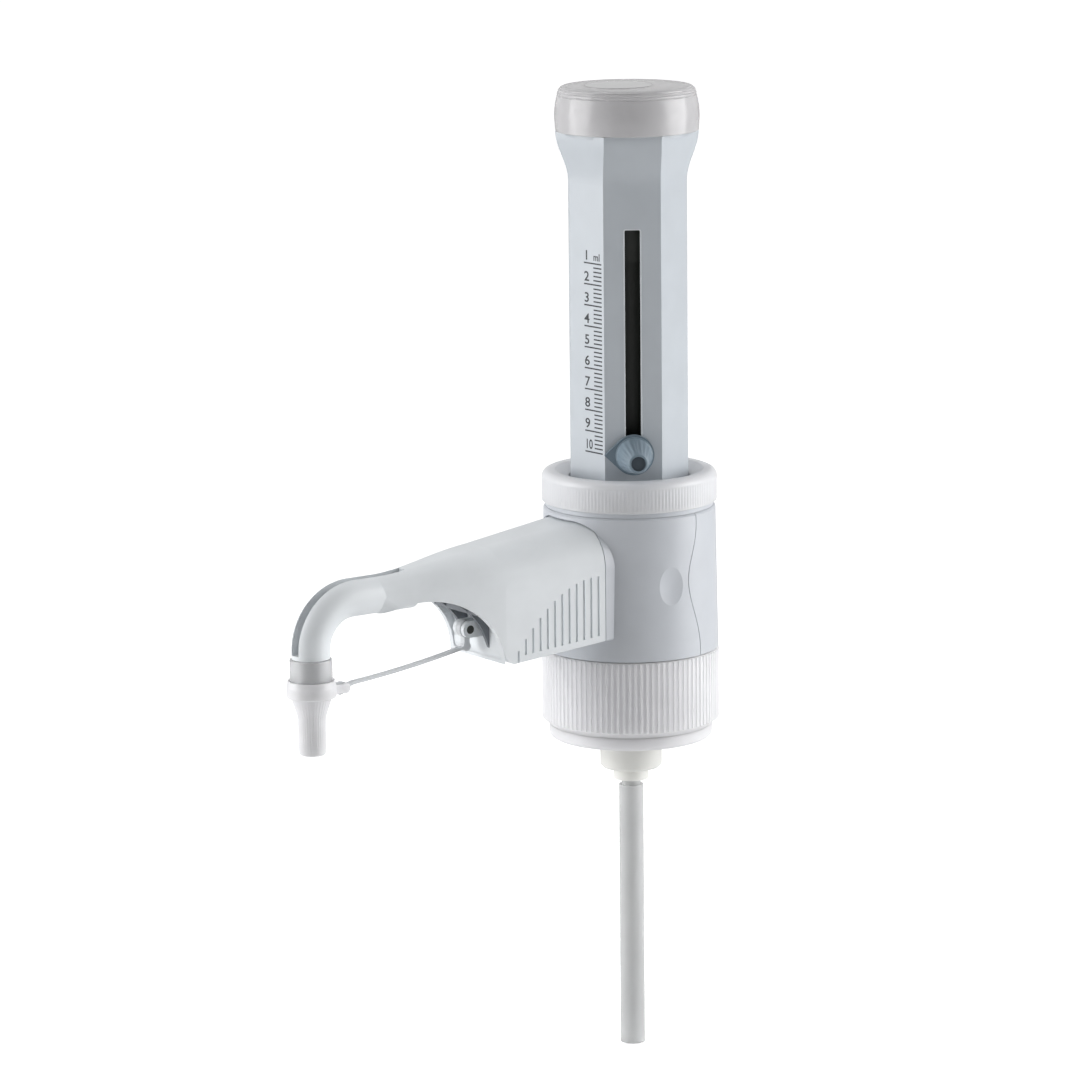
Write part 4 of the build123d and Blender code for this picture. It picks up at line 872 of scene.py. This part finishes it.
@dataclass
class Housing(SubAssembly):
    """Valve block, shells, spout, outlet and inlet parts."""

    nipple_r: float = 4.3
    thread_low: float = 12.2
    thread_high: float = 15.7
    arch_x: float = 82.0
    arch_z: float = 17.0
    arch_half: float = 24.5
    arch_rise: float = 21.3
    web_start: float = 57.4
    web_end: float = 78.0
    web_reach: float = 5.6
    web_half: float = 0.6
    web_top: float = 42.0
    web_rows: int = 16
    web_gap: float = 0.25
    rib_gap: float = 0.2
    rib_width: float = 1.2
    cross_ribs: tuple[float, ...] = (64.8, 72.6, 76.2)
    heel_x: float = 57.0
    heel_half: float = 13.1
    narrowing: float = 0.224
    spring_r: float = 1.45
    wire_r: float = 0.22
    spring_turns: int = 5
    ball_lift: float = 1.2

    def build_nipple_thread(self) -> None:
        """Build the fine thread on the ferrule's nipple."""
        section = [(0.1, -0.45), (-0.14, -0.1), (-0.14, 0.1), (0.1, 0.45)]
        section = [(-out, up) for out, up in section]
        path = helix(self.nipple_r, self.thread_low, self.thread_high, 1.2, 24)
        mesh = self.forge.swept("nipple_thread", section, path, Vector((0, 0, 1)))
        made = self.forge.piece("nipple_thread", mesh, TIP_PLACE)
        self.forge.hang(made, "housing", "pale_cap", [Look.FERRULE_FROST])

    def arch_level(self, distance: float) -> float:
        """Height of the arch's edge at a distance from the axis."""
        share = (self.arch_x - distance) / self.arch_half
        return self.arch_z + self.arch_rise * (1.0 - share ** 2) ** 0.5

    def build_arch_ribs(self) -> None:
        """Build the stiffening webs and cross ribs seen under the arch, coloured darker than the spout as
        painted shade.
        """
        form = bmesh.new()
        span = self.web_end - self.web_start
        corners = ((-1, 0), (1, 0), (1, 1), (-1, 1))
        for side in (-1.0, 1.0):
            rows = []
            for step in range(self.web_rows + 1):
                distance = self.web_start + span * step / self.web_rows
                low = self.arch_level(max(distance, self.web_start + 0.4)) + self.web_gap
                row = []
                for across, upper in corners:
                    reach = side * self.web_reach + across * self.web_half
                    row.append(form.verts.new((-distance, reach, self.web_top if upper else low)))
                rows.append(row)
            for here, there in zip(rows, rows[1:]):
                for corner in range(4):
                    nearby = (corner + 1) % 4
                    form.faces.new((here[corner], here[nearby], there[nearby], there[corner]))
            form.faces.new(rows[0])
            form.faces.new(rows[-1])
        for distance in self.cross_ribs:
            low = self.arch_level(distance) + self.rib_gap
            reach = self.heel_half - self.narrowing * (distance - self.heel_x)
            size = Matrix.Diagonal((self.rib_width, 2 * reach, self.web_top - low, 1.0))
            spot = Matrix.Translation((-distance, 0.0, (self.web_top + low) / 2))
            bmesh.ops.create_cube(form, size=1.0, matrix=spot @ size)
        mesh = self.forge.closed(form, "arch_ribs")
        made = self.forge.piece("arch_ribs", mesh, AT_ORIGIN)
        self.forge.hang(made, "housing", "body_grey", [Look.RIB_SHADE])

    def build_spring(self) -> None:
        """Build the outlet spring as a coil of wire in place of the plain one."""
        low, high = heights("outlet_spring")
        near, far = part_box("outlet_spring")
        middle = (near.x + far.x) / (2 * MM)
        start, end = low + self.wire_r, high - self.wire_r
        path = helix(self.spring_r, start, end, (end - start) / self.spring_turns)
        wire = arc((0.0, 0.0), self.wire_r, 0.0, 330.0, 11)
        mesh = self.forge.swept("outlet_spring_coil", wire, path, Vector((0, 0, 1)))
        made = self.forge.piece("outlet_spring_coil", mesh, Matrix.Translation((middle, 0.0, 0.0)))
        self.forge.hang(made, "housing", "spring_steel", [Look.SPRING_STEEL])
        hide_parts("outlet_spring")
        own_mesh(made)

    def build(self) -> None:
        """Dress the housing's nodes and build its ribs, spring and small thread."""
        self.dress({
            "valve_block": Look.SHELL_GREY,
            "front_shell": Look.SHELL_GREY,
            "rear_shell": Look.SHELL_GREY,
            "spout_housing": Look.SPOUT_GREY,
            # the discharge tube's dark grey is painted shade inside the spout's slot
            "discharge_tube": Look.TUBE_GREY,
            "tip_ferrule": Look.FERRULE_FROST,
            "strap_pivot_pin": Look.DARK_PLASTIC,
            "outlet_valve_seat": Look.FLUORO_WHITE,
            "outlet_valve_cage": Look.FLUORO_WHITE,
            "outlet_ball": Look.BALL_WHITE,
            "glass_cylinder": Look.GLASS,
            "cylinder_jacket": Look.DARK_PLASTIC,
            "filling_valve_body": Look.FLUORO_WHITE,
            "filling_valve_seat": Look.FLUORO_WHITE,
            "filling_ball": Look.BALL_WHITE,
            "valve_seal_ring": Look.SEAL_BLACK,
            "tube_connector": Look.FLUORO_WHITE,
            "filling_tube_inner": Look.TUBE_CLEAR,
            "filling_tube_outer": Look.TUBE_CLEAR,
        })
        self.build_arch_ribs()
        self.build_spring()
        self.build_nipple_thread()


@dataclass
class Closure(SubAssembly):
    """Screw cap of the spout's tip with its carrier ring and strap."""

    cap_end_r: float = 4.1
    cap_waist_r: float = 4.25
    cap_waist_z: float = 7.2
    cap_head_r: float = 6.12
    cap_head_low: float = 13.2
    cap_flange_low: float = 14.3
    cap_flange_high: float = 15.4
    cap_flange_r: float = 6.72
    cap_head_top: float = 16.3
    bore_r: float = 4.5
    bore_low: float = 11.1
    core_r: float = 3.3
    floor_wall: float = 1.0
    ribs: int = 36
    rib_depth: float = 0.14

    def ripple(self, angle: float, radius: float, height: float) -> float:
        """Depth of the cap's grip ribs at one place.

        Args:
            angle: angle round the cap.
            radius: radius of the plain cap there.
            height: height of the place.

        Returns:
            The change of radius.
        """
        low = heights("screw_cap")[0]
        if radius < self.cap_end_r - 0.01 or height > self.cap_head_low:
            return 0.0
        fade = clamp_share((height - low - 0.8) / 1.0) * clamp_share((self.cap_head_low - height) / 1.5)
        return -self.rib_depth * fade * (0.5 + 0.5 * cos(self.ribs * angle))

    def build_cap(self) -> None:
        """Build the ribbed screw cap in place of the plain one."""
        low = heights("screw_cap")[0]
        outline = [(0.0, low), (1.4, low)]
        outline += arc((self.cap_end_r - 0.8, low + 0.8), 0.8, -90.0, 0.0, 5)
        rows = 6
        for row in range(1, rows + 1):
            share = row / rows
            radius = self.cap_end_r + (self.cap_waist_r - self.cap_end_r) * share
            outline.append((radius, low + 0.8 + (self.cap_waist_z - low - 0.8) * share))
        for row in range(1, rows + 1):
            share = row / rows
            radius = self.cap_waist_r + (self.cap_head_r - self.cap_waist_r) * share
            outline.append((radius, self.cap_waist_z + (self.cap_head_low - self.cap_waist_z) * share))
        outline += [(self.cap_head_r, self.cap_flange_low), (self.cap_flange_r, self.cap_flange_low)]
        outline += [(self.cap_flange_r, self.cap_flange_high), (self.cap_head_r, self.cap_flange_high)]
        outline += [(self.cap_head_r, self.cap_head_top), (self.bore_r, self.cap_head_top)]
        outline += [(self.bore_r, self.bore_low), (self.core_r, self.bore_low - 0.6)]
        outline += [(self.core_r, low + self.floor_wall), (0.0, low + self.floor_wall)]
        mesh = self.forge.turned("screw_cap_ribbed", outline, 6 * self.ribs, self.ripple)
        made = self.forge.piece("screw_cap_ribbed", mesh, TIP_PLACE)
        self.forge.hang(made, "screw_cap", "pale_cap", [Look.TIP_FROST])
        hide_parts("screw_cap")

    def build(self) -> None:
        """Dress the ring and the strap and build the cap."""
        self.dress({"cap_ring": Look.TIP_FROST, "cap_strap": Look.STRAP_GREY})
        self.build_cap()


@dataclass
class Studio:
    """Pale floor, soft lamps and the camera at the photograph's place."""

    frame_pixels: float = 1080.0
    focal_pixels: float = 4990.9
    camera_x: float = -902.7
    camera_y: float = -1198.0
    heading: float = 54.05
    pitch: float = 11.092
    roll: float = -0.577
    camera_z: float = 340.0
    floor_size: float = 16.0
    floor_white: float = 0.72
    light_behind: float = 0.64
    light_in_front: float = 0.02

    def camera(self) -> None:
        """Stand the camera where the photograph was taken."""
        heading, pitch, roll = radians(self.heading), radians(self.pitch), radians(self.roll)
        ahead = Vector((cos(heading) * cos(pitch), sin(heading) * cos(pitch), -sin(pitch)))
        right = Vector((sin(heading), -cos(heading), 0.0))
        above = right.cross(ahead)
        side = right * cos(roll) + above * sin(roll)
        top = above * cos(roll) - right * sin(roll)
        place = Matrix((side, top, -ahead)).transposed().to_4x4()
        place.translation = Vector((self.camera_x, self.camera_y, self.camera_z)) * MM
        lens = bpy.data.cameras.new("view")
        lens.sensor_width = 36.0
        lens.lens = self.focal_pixels * lens.sensor_width / self.frame_pixels
        lens.clip_end = 60.0
        made = bpy.data.objects.new("view", lens)
        made.matrix_world = place
        bpy.context.scene.collection.objects.link(made)
        bpy.context.scene.camera = made

    def lamp(
        self, name: str, azimuth: float, height: float, reach: float, size: float, power: float
    ) -> None:
        """Hang one soft square lamp that faces the object.

        Args:
            name: the lamp's name.
            azimuth: direction from the object in degrees.
            height: height above the object's origin in metres.
            reach: level distance in metres.
            size: side of the square in metres.
            power: power in watts.
        """
        light = bpy.data.lights.new(name, "AREA")
        light.size = size
        light.energy = power
        made = bpy.data.objects.new(name, light)
        spot = Vector((reach * cos(radians(azimuth)), reach * sin(radians(azimuth)), height))
        made.location = spot
        made.rotation_euler = (Vector((0, 0, 0.07)) - spot).to_track_quat("-Z", "Y").to_euler()
        bpy.context.scene.collection.objects.link(made)

    def world(self) -> None:
        """Give the room a soft light and a white sight."""
        room = bpy.data.worlds.new("studio")
        bpy.context.scene.world = room
        room.use_nodes = True
        tree = room.node_tree
        shine = tree.nodes["Background"]
        shine.inputs["Color"].default_value = (1.0, 1.0, 1.0, 1.0)
        ray = tree.nodes.new("ShaderNodeLightPath")
        seen = tree.nodes.new("ShaderNodeMath")
        seen.operation = "MAXIMUM"
        tree.links.new(ray.outputs["Is Camera Ray"], seen.inputs[0])
        tree.links.new(ray.outputs["Is Transmission Ray"], seen.inputs[1])
        direction = tree.nodes.new("ShaderNodeTexCoord")
        facing = tree.nodes.new("ShaderNodeVectorMath")
        facing.operation = "DOT_PRODUCT"
        front = radians(self.heading + 180.0)
        facing.inputs[1].default_value = (cos(front), sin(front), -0.35)
        tree.links.new(direction.outputs["Generated"], facing.inputs[0])
        fall = tree.nodes.new("ShaderNodeMapRange")
        fall.inputs["From Min"].default_value = -1.0
        fall.inputs["To Min"].default_value = self.light_behind
        fall.inputs["To Max"].default_value = self.light_in_front
        tree.links.new(facing.outputs["Value"], fall.inputs["Value"])
        level = tree.nodes.new("ShaderNodeMapRange")
        level.inputs["To Max"].default_value = 1.0
        tree.links.new(fall.outputs["Result"], level.inputs["To Min"])
        tree.links.new(seen.outputs["Value"], level.inputs["Value"])
        tree.links.new(level.outputs["Result"], shine.inputs["Strength"])

    def floor(self) -> None:
        """Lay a pale floor that reads white and keeps the object's shadow."""
        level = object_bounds()[0][2] - 0.0005
        form = bmesh.new()
        half = self.floor_size / 2
        square = ((-half, -half), (half, -half), (half, half), (-half, half))
        form.faces.new([form.verts.new((x, y, level)) for x, y in square])
        mesh = bpy.data.meshes.new("floor")
        form.to_mesh(mesh)
        form.free()
        ground = bpy.data.objects.new("floor", mesh)
        bpy.context.scene.collection.objects.link(ground)
        made = bpy.data.materials.new("floor_white")
        made.use_nodes = True
        tree = made.node_tree
        shader = tree.nodes["Principled BSDF"]
        shader.inputs["Base Color"].default_value = (0.8, 0.8, 0.8, 1.0)
        shader.inputs["Roughness"].default_value = 0.9
        shader.inputs["Emission Color"].default_value = (1.0, 1.0, 1.0, 1.0)
        ray = tree.nodes.new("ShaderNodeLightPath")
        scaled = tree.nodes.new("ShaderNodeMath")
        scaled.operation = "MULTIPLY"
        scaled.inputs[1].default_value = self.floor_white
        tree.links.new(ray.outputs["Is Camera Ray"], scaled.inputs[0])
        tree.links.new(scaled.outputs["Value"], shader.inputs["Emission Strength"])
        mesh.materials.append(made)
        ground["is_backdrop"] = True

    def build(self) -> None:
        """Set up the view, the light and the floor."""
        bpy.context.scene.view_settings.view_transform = "Standard"
        self.camera()
        self.world()
        self.lamp("left_softbox", 151.0, 0.3, 1.1, 0.9, 10.0)
        self.lamp("right_softbox", -40.0, 0.3, 1.1, 0.9, 11.5)
        self.lamp("top_softbox", 120.0, 1.3, 0.3, 0.8, 2.4)
        self.floor()


def main() -> None:
    """Build the sub-assemblies in order."""
    logging.basicConfig(level=logging.INFO, format="%(message)s")
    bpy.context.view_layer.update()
    forge = Forge(Paintbox())
    for group in (BottleUnion, Housing, LockRing, Handle, DoseScale, VolumePointer, Closure):
        group(forge).build()
        LOG.info("built %s", group.__name__)
    Studio().build()
    LOG.info("%d new pieces", forge.count)


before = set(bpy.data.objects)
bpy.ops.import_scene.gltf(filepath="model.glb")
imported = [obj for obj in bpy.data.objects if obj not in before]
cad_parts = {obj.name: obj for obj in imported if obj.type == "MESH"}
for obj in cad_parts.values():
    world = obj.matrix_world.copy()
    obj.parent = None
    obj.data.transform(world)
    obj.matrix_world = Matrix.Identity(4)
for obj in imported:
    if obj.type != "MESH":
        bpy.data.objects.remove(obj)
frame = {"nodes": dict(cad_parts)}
FRAME = frame

if __name__ == "__main__":
    main()
